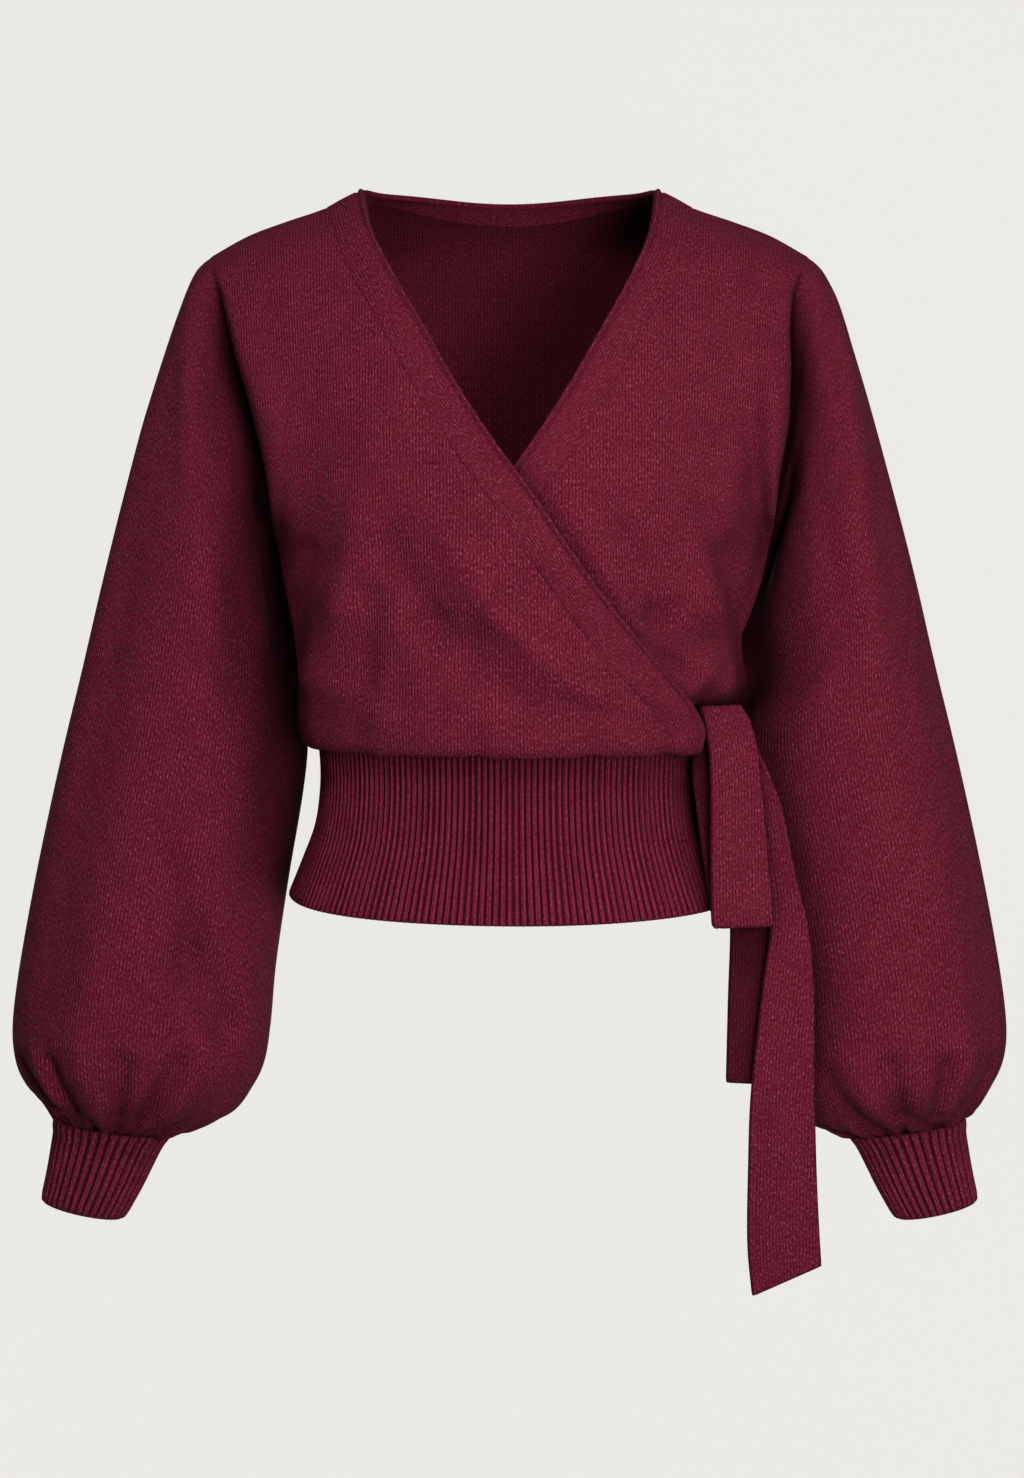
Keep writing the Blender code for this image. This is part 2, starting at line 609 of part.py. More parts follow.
def gather_height(angle, row, shift):
    """Gathers above the cuff: ridges between hollows, deepest just above the seam, fading upward."""
    grow = smooth(row, 10.6, 13.4) * (1 - 0.85 * smooth(row, 13.6, 15.0))
    height = np.zeros_like(angle)
    for place, width, tall in zip(GATHERS["angle"], GATHERS["width"], GATHERS["height"]):
        lean = place + shift + GATHER_LEAN * (14 - row)
        far = (angle - lean + 180) % 360 - 180
        height += tall * np.exp(-(far / width) ** 2)
    return (height - GATHERS["height"].mean() / 2) * grow


def sleeve_at(left, angle, row, lift=0.0):
    """A sleeve point with its folds and gathers, moved out by lift; both sleeves are drawn at +X."""
    folds, shift = (LEFT_SLEEVE_FOLDS, 0.0) if left else (RIGHT_SLEEVE_FOLDS, GATHER_SHIFT)
    point = sleeve_base(left, angle, row)
    height = wrapped_folds(folds, angle, row) * smooth(row, 0.5, 2.5) * (1 - smooth(row, 12, 15))
    height = height + gather_height(angle, row, shift) + lift
    return point + sleeve_normal(left, angle, row) * height[..., None]


def armhole_ring(left, back_off, lift):
    """The body's armhole at +X as a ring, taken back_off inside the edge, with halfway points."""
    u = np.full_like(ROWS_ABOVE, 1 - back_off) * (1 if left else -1)
    front = front_at(u, ROWS_ABOVE, 1 if left else 0, lift)
    back = back_at(u, ROWS_ABOVE, lift)
    ends = [(front[0] + back[0]) / 2, (front[-1] + back[-1]) / 2]
    ring = np.vstack([ends[:1], front[1:-1], ends[1:], back[-2:0:-1]])
    ring[:, 0] = np.abs(ring[:, 0])
    halfway = (ring + np.roll(ring, -1, axis=0)) / 2
    return np.stack([ring, halfway], axis=1).reshape(-1, 3)


def make_sleeve(name, left):
    """A full sleeve from the armhole to the gathered seam at the cuff."""
    angles = np.arange(SLEEVE_POINTS) * 360.0 / SLEEVE_POINTS
    grids = []
    for rows, lift in ((SLEEVE_ROWS, 0.0), (SLEEVE_INSIDE_ROWS, -CLOTH)):
        angle, row = np.meshgrid(angles, np.array(rows, float))
        grids.append(sleeve_at(left, angle, row, lift))
    edge = armhole_ring(left, 0.0, 0.0)
    body = (edge - armhole_ring(left, 0.0, -CLOTH)) / CLOTH
    beyond = edge - armhole_ring(left, 0.02, 0.0)
    beyond /= np.linalg.norm(beyond, axis=-1).max()
    edge = edge + (beyond + np.array(ARM_WAY)) * SEAM_GAP * 1.5
    normal = sleeve_normal(left, angles, np.zeros_like(angles))
    square = smooth(np.sum(normal * body, axis=-1), -0.1, 0.5)[:, None]
    grids[0][0] = edge
    grids[1][0] = edge - (CLOTH - SEAM_GAP) * (body * square + normal * (1 - square))
    if not left:
        grids = [grid * np.array((-1, 1, 1)) for grid in grids]
    return make_wall(name, grids[0], grids[1], tube=True)


def make_cuff(name, left):
    """A ribbed cuff: crests and valleys in the outer points over a plain inside."""
    grids = []
    for rows, points in (((0, 1.0, 2.0, 3.0), CUFF_RIBS * 2), ((0, 3.0), CUFF_RIBS)):
        angle, row = np.meshgrid(np.arange(points) * 360.0 / points, np.array(rows, float))
        point = ring_point(CUFF, angle, row)
        middle = (ring_point(CUFF, angle, row) + ring_point(CUFF, angle + 180, row)) / 2
        facing = (point - middle) / np.linalg.norm(point - middle, axis=-1, keepdims=True)
        if points > CUFF_RIBS:
            wave = np.where(np.arange(points) % 2 == 0, -1.0, 1.0)[None, :]
            height = wave * (RIB_HEIGHT + 0.2) * smooth(row, -0.2, 0.5)
        else:
            height = np.full(row.shape, -RIB_WALL)
        grids.append(point + facing * height[..., None])
    if not left:
        grids = [grid * np.array((-1, 1, 1)) for grid in grids]
    return make_wall(name, grids[0], grids[1], tube=True, colour=RIB_COLOUR)


# ---------------------------------------------------------------- the tie

def strap_point(rows, across, row):
    """Point of a strap: across runs from its left edge (0) to its right edge (1)."""
    left = np.stack([along(rows[key + "_left"], row) for key in "xyz"], axis=-1)
    right = np.stack([along(rows[key + "_right"], row) for key in "xyz"], axis=-1)
    return left + (right - left) * across[..., None]


def make_strap(name, rows, samples):
    """A doubled strap that follows its table of left and right edges."""
    across, row = np.meshgrid(np.linspace(0, 1, 4), np.linspace(0, len(rows["z_left"]) - 1, samples))
    step = 1e-3
    over = strap_point(rows, across + step, row) - strap_point(rows, across - step, row)
    down = strap_point(rows, across, row + step) - strap_point(rows, across, row - step)
    normal = np.cross(down, over)
    normal /= np.linalg.norm(normal, axis=-1, keepdims=True)
    middle = strap_point(rows, across, row)
    half = TIE_CLOTH / 2
    return make_wall(name, middle + normal * half, middle - normal * half)


def make_knot(name):
    """The small knot under the bloused side: a sphere made blockier, then stretched to its sizes."""
    shape = bmesh.new()
    bmesh.ops.create_uvsphere(shape, u_segments=16, v_segments=10, radius=1.0)
    points = np.array([corner.co[:] for corner in shape.verts])
    points = np.sign(points) * np.abs(points) ** KNOT_BLOCK * np.array(KNOT_HALF) + np.array(KNOT_MID)
    faces = [[corner.index for corner in face.verts] for face in shape.faces]
    shape.free()
    return make_object(name, points, faces)


# ---------------------------------------------------------------- the whole top

def clear_scene():
    """Remove what the file starts with."""
    for item in list(bpy.data.objects):
        bpy.data.objects.remove(item, do_unlink=True)


def main():
    """Build every piece of the wrap top."""
    clear_scene()
    make_front("front_outer", 0)
    make_front("front_inner", 1)
    make_back("back_panel")
    make_neck_band("neck_band")
    outer_ribs = round(WAIST_RIBS * (90 + OUTER_END) / 180)
    make_waistband("waistband_outer", "front", -90, OUTER_END, outer_ribs, layer=0)
    make_waistband("waistband_inner", "front", -90, 90, 0, layer=1)
    make_waistband("waistband_back", "back", -90, 90, WAIST_RIBS)
    for side in ("left", "right"):
        make_sleeve("sleeve_" + side, side == "left")
        make_cuff("cuff_" + side, side == "left")
    make_strap("tie_loop", TIE_LOOP, 30)
    make_strap("tie_tail_long", TIE_LONG, 22)
    make_strap("tie_tail_short", TIE_SHORT, 14)
    make_knot("tie_knot")


main()
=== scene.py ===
# %% [markdown]
# # A knitted wrap top
# The real top is a soft, fine knit. Two fronts cross over, a band runs round the neck, full sleeves are
# gathered into ribbed cuffs, and a tie holds the side. It keeps the shape that it has when it is worn.
# Every piece here is a surface worked out from two numbers: one across the cloth and one along it. That
# gives each piece its true shape and also says how the stitches run, which the knit pattern needs.

import math

import bmesh
import bpy
import numpy as np
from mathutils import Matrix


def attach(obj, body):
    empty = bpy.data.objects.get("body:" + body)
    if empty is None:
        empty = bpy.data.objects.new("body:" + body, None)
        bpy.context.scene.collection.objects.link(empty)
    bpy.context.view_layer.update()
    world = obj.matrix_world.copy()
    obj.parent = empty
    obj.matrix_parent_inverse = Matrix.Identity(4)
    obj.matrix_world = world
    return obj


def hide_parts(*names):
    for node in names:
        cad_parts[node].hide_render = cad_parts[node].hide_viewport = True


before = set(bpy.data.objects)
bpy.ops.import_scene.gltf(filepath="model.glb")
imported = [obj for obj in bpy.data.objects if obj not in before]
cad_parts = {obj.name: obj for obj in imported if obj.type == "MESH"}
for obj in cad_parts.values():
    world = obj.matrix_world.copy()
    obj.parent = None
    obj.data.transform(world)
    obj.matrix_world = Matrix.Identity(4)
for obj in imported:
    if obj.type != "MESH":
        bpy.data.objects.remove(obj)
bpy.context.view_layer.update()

# %% [markdown]
# ## The camera
# The camera stands straight in front, a little above the middle, and looks down by five degrees. A long
# lens keeps the sleeves and the body in proportion.

# %% Set the camera
VIEW_DISTANCE = 2.2
VIEW_DOWN = math.radians(5.0)
VIEW_TARGET = np.array((0.001575, 0.0, -0.34398))
IMAGE_ROWS = 1478
METRES_A_ROW = 0.00063
SENSOR = 36.0


def show(thing):
    """Put an object into the scene."""
    bpy.context.scene.collection.objects.link(thing)
    return thing


camera_data = bpy.data.cameras.new("studio_camera")
camera_data.sensor_width = SENSOR
camera_data.lens = SENSOR * VIEW_DISTANCE / (IMAGE_ROWS * METRES_A_ROW)
camera = show(bpy.data.objects.new("studio_camera", camera_data))
camera.location = VIEW_TARGET + VIEW_DISTANCE * np.array((0, -math.cos(VIEW_DOWN), math.sin(VIEW_DOWN)))
camera.rotation_euler = (math.pi / 2 - VIEW_DOWN, 0, 0)
bpy.context.scene.camera = camera
print("lens:", round(camera_data.lens, 1), "mm")

# %% [markdown]
# ## Tables and soft curves
# A garment maker measures a body at a few levels and draws smooth lines between them. The same is done
# here: short tables hold the measured levels in millimetres, and a curve goes softly through them.

# %% Curves through tables
MM = 0.001


def table(columns, rows):
    """Name the columns of a short table."""
    return {name: np.array(values, float) for name, values in zip(columns.split(), zip(*rows))}


def along(column, row):
    """Smooth curve through a column at fractional rows: each stretch is a cubic whose slope at a row is
    half the difference between that row's neighbours."""
    row = np.clip(np.asarray(row, float), 0, len(column) - 1)
    low = np.minimum(row.astype(int), len(column) - 2)
    f = row - low
    p = np.concatenate([[2 * column[0] - column[1]], column, [2 * column[-1] - column[-2]]])
    a, b, c, d = p[low], p[low + 1], p[low + 2], p[low + 3]
    return b + 0.5 * f * (c - a + f * (2 * a - 5 * b + 4 * c - d + f * (3 * (b - c) + d - a)))


def smooth(value, start, end):
    """Go softly from 0 at start to 1 at end: three times the square less twice the cube."""
    s = np.clip((np.asarray(value, float) - start) / (end - start), 0, 1)
    return s * s * (3 - 2 * s)


def between(value, rise, full, fall, end):
    """Go softly from 0 up to 1 and later back to 0."""
    return smooth(value, rise, full) * (1 - smooth(value, fall, end))


def bell(value, width):
    """A bell curve: 1 at zero, and about a third at the given width."""
    return np.exp(-(value / width) ** 2)


def unit(vectors):
    """Vectors divided by their lengths."""
    return vectors / np.maximum(np.linalg.norm(vectors, axis=-1, keepdims=True), 1e-9)


def run_along(points, axis=0):
    """Distances along lines of points: the running sum of the steps' lengths, from 0 at the first."""
    run = np.linalg.norm(np.diff(points, axis=axis), axis=-1).cumsum(axis=axis)
    return np.concatenate([0 * np.take(run, [0], axis), run], axis=axis)


def slopes(surface, a, b, step_a, step_b):
    """Small differences of a surface along each of its two numbers: a step on less a step back."""
    return (surface(a + step_a, b) - surface(a - step_a, b),
            surface(a, b + step_b) - surface(a, b - step_b))


def matched(*values):
    """Values as arrays of decimal numbers, all of one shape."""
    return np.broadcast_arrays(*[np.asarray(value, float) for value in values])


def line_point(rows, end, row):
    """Point of the curve through a table's x, y and z columns whose names end alike."""
    return np.stack([along(rows[key + end], row) for key in "xyz"], axis=-1)


def fold_height(folds, across, down):
    """Sum of soft ridges, or troughs where the height is below zero. Each lies along a straight line and
    its height falls off as a bell curve of the distance to that line."""
    height = np.zeros(np.broadcast(across, down).shape)
    for x0, z0, x1, z1, width, tall in zip(*folds.values()):
        run = np.array((x1 - x0, z1 - z0))
        part = np.clip(((across - x0) * run[0] + (down - z0) * run[1]) / (run @ run), 0, 1)
        far = np.hypot(across - x0 - part * run[0], down - z0 - part * run[1])
        height += tall * bell(far, width)
    return height


print("a curve through 0, 10, 0 at its middle:", float(along(np.array((0.0, 10.0, 0.0)), 1.0)))

# %% [markdown]
# ## The bodice's measurements
# One row for each level, from the shoulder seam (row 0) past the underarm (row 8) to the waist seam (row
# 16), where the cloth turns under and makes the bloused edge. The tied side hangs over less.

# %% The bodice's tables
BODY = table("front_z front_y back_z back_y right_x left_x edge_z edge_front edge_back arc wrap_x", [
    (0, 0, 0, 0, 187, 187, -43.5, 0, 0, 45, -91.5),
    (-14, -24, -2, 26, 184.5, 182.5, -51, -17, 18, 45, -88.3),
    (-32, -43, -6, 54, 178, 175, -67, -33, 38, 48, -82.5),
    (-58, -63, -28, 76, 168, 169.5, -94, -46, 54, 52, -68.5),
    (-86, -79, -60, 87, 158.5, 167, -119, -54, 61, 56, -52),
    (-118, -93, -100, 94, 151, 165.5, -146, -56, 60, 60, -33.8),
    (-152, -103, -140, 98, 147.5, 163.5, -173, -49, 51, 68, -12),
    (-187, -110, -180, 100, 145.5, 162, -199, -31, 32, 80, 13.5),
    (-215, -113, -213, 99, 144, 161, -217, 0, 0, 90, 32),
    (-245, -114, -245, 97, 140.5, 156, -245, 0, 0, 90, 52.5),
    (-275, -113.5, -275, 95, 136, 145.5, -275, 0, 0, 90, 75.5),
    (-305, -111.5, -305, 94, 132.5, 145.5, -305, 0, 0, 90, 100),
    (-328, -108.5, -328, 93, 133.5, 148, -328, 0, 0, 90, 115),
    (-341, -105.5, -341, 91, 132, 145, -341, 0, 0, 90, 115.5),
    (-346.5, -101, -346.5, 87, 127.5, 139.5, -346.5, 0, 0, 90, 113),
    (-344.5, -97, -344.5, 84, 124.5, 128, -344.5, 0, 0, 90, 111.5),
    (-338, -94, -338, 82.5, 122.5, 122.5, -338, 0, 0, 90, 111)])
TIED = table("z front_y back_y wrap_x", [
    (-274, -113.5, 95, 74), (-291, -112.5, 94.5, 91), (-305, -110, 93, 103), (-313.5, -106.5, 91, 108),
    (-319.5, -101.5, 88, 111), (-323, -97.5, 85, 111), (-338, -94, 82.5, 111)])
UNDERARM = 8
WAIST_SEAM = 16
TIED_FROM = 10
TIED_ROWS = (9.0, 10.5)
SHOULDER_SLOPE = np.array((0.02, 0.29, 0.48, 0.69, 1.0))
NECK_SHARE = 0.48
NECK_WIDTH = 91.5
NECK_BACK = 55.0
BAND_WIDTH = 23.0
BAND_DEPTH_BEHIND = 13.0
FULLNESS = 0.42
INNER_EDGE_SHIFT = 4.5
LAP = 3.8
LAP_RUN = 60.0
LAP_OVAL = np.array((135.0, 105.0))
EDGE_PRESS = 2.4
EDGE_PRESS_WIDTH = 4.4
EDGE_SLANT = 0.8
FOLD_SIDES = (0.75, 1.0)
FOLD_ROWS = (12.5, 14.0)
PUCKER_ROWS = (9.0, 12.5, 14.5, 16.0)
BACK_PUCKER_SHIFT = 31.0
LAYER_SIDE = (-1.0, 1.0)
print("bodice levels:", len(BODY["front_z"]))

# %% [markdown]
# ## The folds of the bodice
# Cloth that hangs over a waist seam falls into a few long, soft folds, which point to where it is held.
# Each is a ridge or a trough along a line in the front view, uneven in width and depth. A tie pulls more
# short folds towards itself. The back has similar ones.

# %% The bodice's fold tables
FOLD_COLUMNS = "x_start z_start x_end z_end width height"
FOLD_DEPTH = 1.9
OUTER_FOLDS = table(FOLD_COLUMNS, [
    (-92, -206, -101, -256, 11, 2.2), (-101, -256, -120, -304, 12, 2.4),
    (-124, -222, -134, -284, 9, -1.6), (-35, -216, -8, -260, 11, 2.6), (-8, -260, 50, -311, 11, 3.0),
    (-72, -222, -46, -266, 13, -2.4), (-46, -266, 12, -318, 13, -2.8), (14, -240, 64, -302, 13, -1.5),
    (-70, -150, -100, -190, 24, 1.6), (-30, -168, -4, -214, 16, 1.4), (-84, -250, -88, -300, 9, -1.6),
    (50, -286, 100, -322, 5, 1.3), (34, -312, 84, -330, 6, -1.2), (-118, -300, -70, -326, 10, 1.2),
    (-136, -150, -132, -206, 10, 1.8)])
INNER_FOLDS = table(FOLD_COLUMNS, [
    (111, -221, 121, -258, 10, 2.6), (121, -258, 130, -290, 14, 2.2), (134, -226, 140, -262, 10, -2.2),
    (70, -216, 90, -262, 11, -2.4), (90, -262, 110, -300, 9, -2.6), (116, -298, 128, -305, 10, 3.4),
    (118, -299, 108, -311, 4.5, 1.2), (129, -296, 124, -309, 5.5, -1.2), (98, -272, 112, -304, 7, 1.0),
    (60, -160, 96, -196, 26, 1.4), (136, -160, 132, -206, 10, 1.8)])
BACK_FOLDS = table(FOLD_COLUMNS, [
    (100, -240, 118, -300, 20, 3.0), (-102, -232, -116, -290, 20, 2.5), (20, -270, 85, -312, 20, 2.0),
    (-60, -280, -15, -325, 22, 1.5), (70, -262, 110, -308, 10, -2.2), (-84, -250, -96, -304, 12, -1.8),
    (92, -232, 108, -282, 7, 1.4), (-12, -292, 32, -326, 12, 1.4), (120, -150, 134, -210, 10, 1.6),
    (-124, -146, -132, -206, 10, 1.6)])
PUCKERS = table("wave shift height", [(61, 0.4, 0.30), (37, 2.1, 0.42), (23, 4.0, 0.45), (83, 1.0, 0.25)])
print("folds:", len(OUTER_FOLDS["width"]), len(INNER_FOLDS["width"]), len(BACK_FOLDS["width"]))

# %% [markdown]
# ## The bodice as a surface
# Across a level, x follows a sine and the depth follows a rounded power of it, so the cloth bends most at
# the sides, as it does on a body. The outer front is moved out and the inner front in where they lap.

# %% The bodice's surface functions


def tied_column(name, row, tied):
    """A body column, changed to the tied side's values by the share tied (0 to 1)."""
    plain = along(BODY[name], row)
    own = "z" if name.endswith("_z") else name
    if own not in TIED:
        return plain
    changed = along(TIED[own], np.asarray(row) - TIED_FROM)
    return plain + (changed - plain) * tied * smooth(row, *TIED_ROWS)


def half_width(row, left):
    """Half width of a level: the wearer's right side turned into the left by the share left."""
    right = along(BODY["right_x"], row)
    return right + (along(BODY["left_x"], row) - right) * left


def body_point(u, row, side, tied):
    """Bodice point: x is the half width times sin(arc * u) / sin(arc), and the depth is a power of one
    less the square of that share. The shoulder drops by its own curve."""
    u, row = matched(u, row)
    arc = np.radians(along(BODY["arc"], row))
    reach = np.sin(arc * u) / np.sin(arc)
    bend = np.sin(arc) ** 2
    least = np.maximum(1 - bend, 0) ** FULLNESS
    depth = (np.maximum(1 - bend * reach ** 2, 0) ** FULLNESS - least) / (1 - least)
    slope = along(SHOULDER_SLOPE, (np.abs(reach) - NECK_SHARE) / (1 - NECK_SHARE) * 4)
    mid_y = tied_column(side + "_y", row, tied)
    mid_z = tied_column(side + "_z", row, tied)
    edge_y = along(BODY["edge_" + side], row)
    edge_z = tied_column("edge_z", row, tied)
    return np.stack([half_width(row, smooth(u, 0.0, 1.0)) * reach, edge_y + (mid_y - edge_y) * depth,
                     mid_z + (edge_z - mid_z) * slope], axis=-1)


def fold_share(u, row):
    """Folds die away at the side seams and where the blouse turns under."""
    return (1 - smooth(np.abs(u), *FOLD_SIDES)) * (1 - smooth(row, *FOLD_ROWS))


def pucker_height(x, row):
    """Small uneven waves over the waist seam: a few sines of x, strongest near the bloused edge."""
    waves = sum(h * np.sin(x / w * 2 * math.pi + s) for w, s, h in zip(*PUCKERS.values()))
    return waves * between(row, *PUCKER_ROWS)


def lap_height(x, layer):
    """Where the fronts lap, layer 0 moves out and layer 1 in, LAP apart in all and shared out by x."""
    return LAP * (smooth(x, -LAP_RUN, LAP_RUN) - layer)


def outward(surface, u, row, front):
    """Unit normal from the cross product of small steps across and down the surface."""
    u, row = matched(u, row)
    across, down = slopes(lambda a, b: surface(np.clip(a, -1, 1), b), u, row, 1e-3, 1e-3)
    normal = np.cross(down, across) if front else np.cross(across, down)
    seam = (row <= 0) | ((np.abs(u) >= 1) & (row >= UNDERARM))
    normal[..., 1] = np.where(seam, 0, normal[..., 1])
    return unit(normal)


def front_folds(folds, point, u, row):
    """Height of a front's folds at its points: the table's ridges times one depth for all."""
    return FOLD_DEPTH * fold_height(folds, point[..., 0], point[..., 2]) * fold_share(u, row)


def front_at(u, row, layer, lift=0.0):
    """Front point with folds along its normal and the lap's level offset. Layer 0 is the outer front.
    The covered front gives way under the outer one's troughs, and its edge presses a soft line."""
    def surface(a, b):
        return body_point(a, b, "front", layer)
    point = surface(u, row)
    height = front_folds((OUTER_FOLDS, INNER_FOLDS)[layer], point, u, row)
    if layer == 1:
        over_edge = (point[..., 0] - tied_column("wrap_x", row, 0)) * EDGE_SLANT
        height = height + np.minimum(front_folds(OUTER_FOLDS, point, u, row), 0)
        height = height - EDGE_PRESS * bell(over_edge - EDGE_PRESS_WIDTH / 2, EDGE_PRESS_WIDTH)
    height = height + pucker_height(point[..., 0], row) + lift
    moved = point + outward(surface, u, row, True) * height[..., None]
    moved[..., :2] += unit(point[..., :2] / LAP_OVAL ** 2) * lap_height(point[..., 0], layer)[..., None]
    return moved


def back_surface(u, row):
    """The back without folds: the tied profile grows in towards the wearer's left."""
    return body_point(u, row, "back", smooth(u, 0.0, 1.0))


def back_at(u, row, lift=0.0):
    """Back point with its folds along its normal."""
    point = back_surface(u, row)
    height = fold_height(BACK_FOLDS, point[..., 0], point[..., 2]) * fold_share(u, row)
    height = height + pucker_height(point[..., 0] + BACK_PUCKER_SHIFT, row) + lift
    return point + outward(back_surface, u, row, False) * height[..., None]


print("centre front at the underarm:", front_at(np.array(0.0), np.array(8.0), 0).round(1))

# %% [markdown]
# ## Where the band meets the fronts
# The wrapped edge is given level by level. The band's seam is the line that lies one band's width from
# that edge. It is found by halving: a guess that is too near moves out, and one too far moves in.

# %% The band's lines
NECK_TURNS = np.linspace(-math.pi / 2, math.pi / 2, 61)
NECK_SEARCH = 4.0
SEAM_SEARCH = 0.7


def u_for_x(x, row):
    """Where along a level the surface reaches the given x: a few steps of the sine's inverse."""
    arc = np.radians(along(BODY["arc"], row))
    u = np.zeros(np.broadcast(x, row).shape)
    for _ in range(12):
        reach = np.clip(x / half_width(row, smooth(u, 0.0, 1.0)), -1, 1)
        u = np.arcsin(reach * np.sin(arc)) / arc
    return u


def wrap_u(row, layer):
    """The wrapped edge of a front on each level; the inner one is nearly the outer's mirror image."""
    x = tied_column("wrap_x", row, layer)
    return u_for_x(x if layer == 0 else INNER_EDGE_SHIFT * smooth(row, 0, 4) - x, row)


def halve(near, low, high, steps):
    """Close in on a line by taking the middle again and again: low stays too near, and high too far."""
    for _ in range(steps):
        middle = (low + high) / 2
        too_near = near(middle)
        low, high = np.where(too_near, middle, low), np.where(too_near, high, middle)
    return low


def neck_line(width):
    """Columns and levels of the line on the back that lies width outside the neck's edge."""
    x = (NECK_WIDTH + width) * np.sin(NECK_TURNS)
    y = (NECK_BACK + BAND_DEPTH_BEHIND * width / BAND_WIDTH) * np.cos(NECK_TURNS)
    row = halve(lambda guess: back_surface(u_for_x(x, guess), guess)[..., 1] < y,
                np.zeros_like(x), np.full_like(x, NECK_SEARCH), 40)
    row[[0, -1]] = 0.0
    return u_for_x(x, row), row


def band_seam_u(row, layer, width):
    """The line on a front that lies width from the wrapped edge, found by halving the way to it."""
    if width == 0:
        return wrap_u(row, layer)
    fine = np.linspace(0, WAIST_SEAM, 321)
    neck_u, neck_row = neck_line(0.0)
    edge = np.vstack([body_point(wrap_u(fine, layer), fine, "front", layer),
                      back_surface(neck_u, neck_row)])

    def near(u):
        point = body_point(u, row, "front", layer)
        return np.linalg.norm(point[:, None] - edge[None], axis=-1).min(axis=1) < width

    start, side = wrap_u(row, layer), LAYER_SIDE[layer]
    corner = np.abs(u_for_x(NECK_WIDTH + width, np.zeros(1))) * side
    return np.where(row <= 0, corner, halve(near, start, start + SEAM_SEARCH * side, 30))


print("seam at the shoulder, as a share of the half width:", band_seam_u(np.zeros(1), 0, BAND_WIDTH))

# %% [markdown]
# ## From a grid of points to a cloth wall
# A piece of knit is about two millimetres thick with soft, rounded cut edges. From the grid of its outer
# face, the inner face is the same grid moved in along the normals, and a third line between them, pushed
# out a little, rounds the edge. The map that carries the stitches is measured along the cloth in metres.

# %% Make a closed cloth wall
EDGE_ROUND = 0.45
pieces = {}


def quads(ids):
    """Faces of a grid of corner values: each cell's four corners in turn."""
    cells = (ids[:-1, :-1], ids[:-1, 1:], ids[1:, 1:], ids[1:, :-1])
    return np.stack(cells, axis=2).reshape(-1, 4, *ids.shape[2:])


def cloth_map(grid, tube):
    """Distances in metres across (from the first column) and along (from the first row) the cloth."""
    closed = np.concatenate([grid, grid[:, :1]], axis=1) if tube else grid
    return np.stack([run_along(closed, 1), run_along(closed)], axis=-1) * MM


def rim(outer, inner, step, swell):
    """Line between the two faces' edges, pushed out by swell along step, which rounds the edge."""
    return (outer + inner) / 2 + unit(step) * swell


def around(values):
    """The border of a grid as one closed loop: top, right side, bottom, left side."""
    return np.concatenate([values[0, :-1], values[:-1, -1], values[-1, :0:-1], values[:0:-1, 0]])


def make_mesh(name, points, faces, stitch_map):
    """Mesh object, kept by name, from points in millimetres, faces and their corners' places on the
    cloth."""
    mesh = bpy.data.meshes.new(name)
    mesh.from_pydata((points * MM).tolist(), [], faces)
    layer = mesh.uv_layers.new(name="cloth")
    layer.data.foreach_set("uv", stitch_map.reshape(-1).astype(np.float32))
    shape = bmesh.new()
    shape.from_mesh(mesh)
    bmesh.ops.recalc_face_normals(shape, faces=shape.faces)
    if shape.calc_volume(signed=True) < 0:
        bmesh.ops.reverse_faces(shape, faces=shape.faces)
    shape.to_mesh(mesh)
    shape.free()
    mesh.shade_smooth()
    pieces[name] = show(bpy.data.objects.new(name, mesh))
    return mesh


def make_cloth(name, outer, inner, stitch_map, tube=False):
    """Close two grids of the same size into one wall with rounded edges. It reads its faces' areas but
    uses none of them."""
    rows, columns = outer.shape[:2]
    size = rows * columns
    ids = np.arange(size).reshape(rows, columns)
    swell = EDGE_ROUND * np.linalg.norm(outer - inner, axis=-1).mean()
    if tube:
        ends = [rim(outer[k], inner[k], outer[k] - outer[n], swell) for k, n in ((0, 1), (-1, -2))]
        border = np.concatenate(ends)
        ids = np.hstack([ids, ids[:, :1]])
        loops = [(ids[0], np.arange(columns)), (ids[-1], np.arange(columns) + columns)]
        maps = (stitch_map[0], stitch_map[-1])
    else:
        step = np.zeros_like(outer)
        step[0] += unit(outer[0] - outer[1])
        step[-1] += unit(outer[-1] - outer[-2])
        step[:, 0] += unit(outer[:, 0] - outer[:, 1])
        step[:, -1] += unit(outer[:, -1] - outer[:, -2])
        border = rim(around(outer), around(inner), around(step), swell)
        edge = around(ids)
        loops = [(np.append(edge, edge[0]), np.arange(len(edge)))]
        edge_map = around(stitch_map)
        maps = (np.concatenate([edge_map, edge_map[:1]]),)
    faces = [quads(ids), quads(ids + size)]
    places = [quads(stitch_map)] * 2
    for (edge, middle), edge_map in zip(loops, maps):
        middle = np.append(middle, middle[0]) + 2 * size
        faces += [quads(np.stack([edge, middle])), quads(np.stack([middle, edge + size]))]
        places += [quads(np.stack([edge_map, edge_map]))] * 2
    points = np.concatenate([outer.reshape(-1, 3), inner.reshape(-1, 3), border])
    mesh = make_mesh(name, points, np.concatenate(faces).tolist(), np.concatenate(places))
    inside = np.concatenate([np.full(len(part), k == 1) for k, part in enumerate(faces)])
    mesh.polygons.foreach_set("material_index", inside.astype(np.int32))
    area = np.empty(len(mesh.polygons), np.float32)
    mesh.polygons.foreach_get("area", area)


print("a two by three grid has", len(quads(np.arange(6).reshape(2, 3))), "faces")

# %% [markdown]
# ## The two fronts
# Each front is cut as one panel, from the side seam to the seam of the neck band. It is sewn into the
# shoulder, the armhole and the waist. Near a seam the cloth rolls in, so the surface sinks softly there.
# The covered front also gives way where the outer one has a trough.

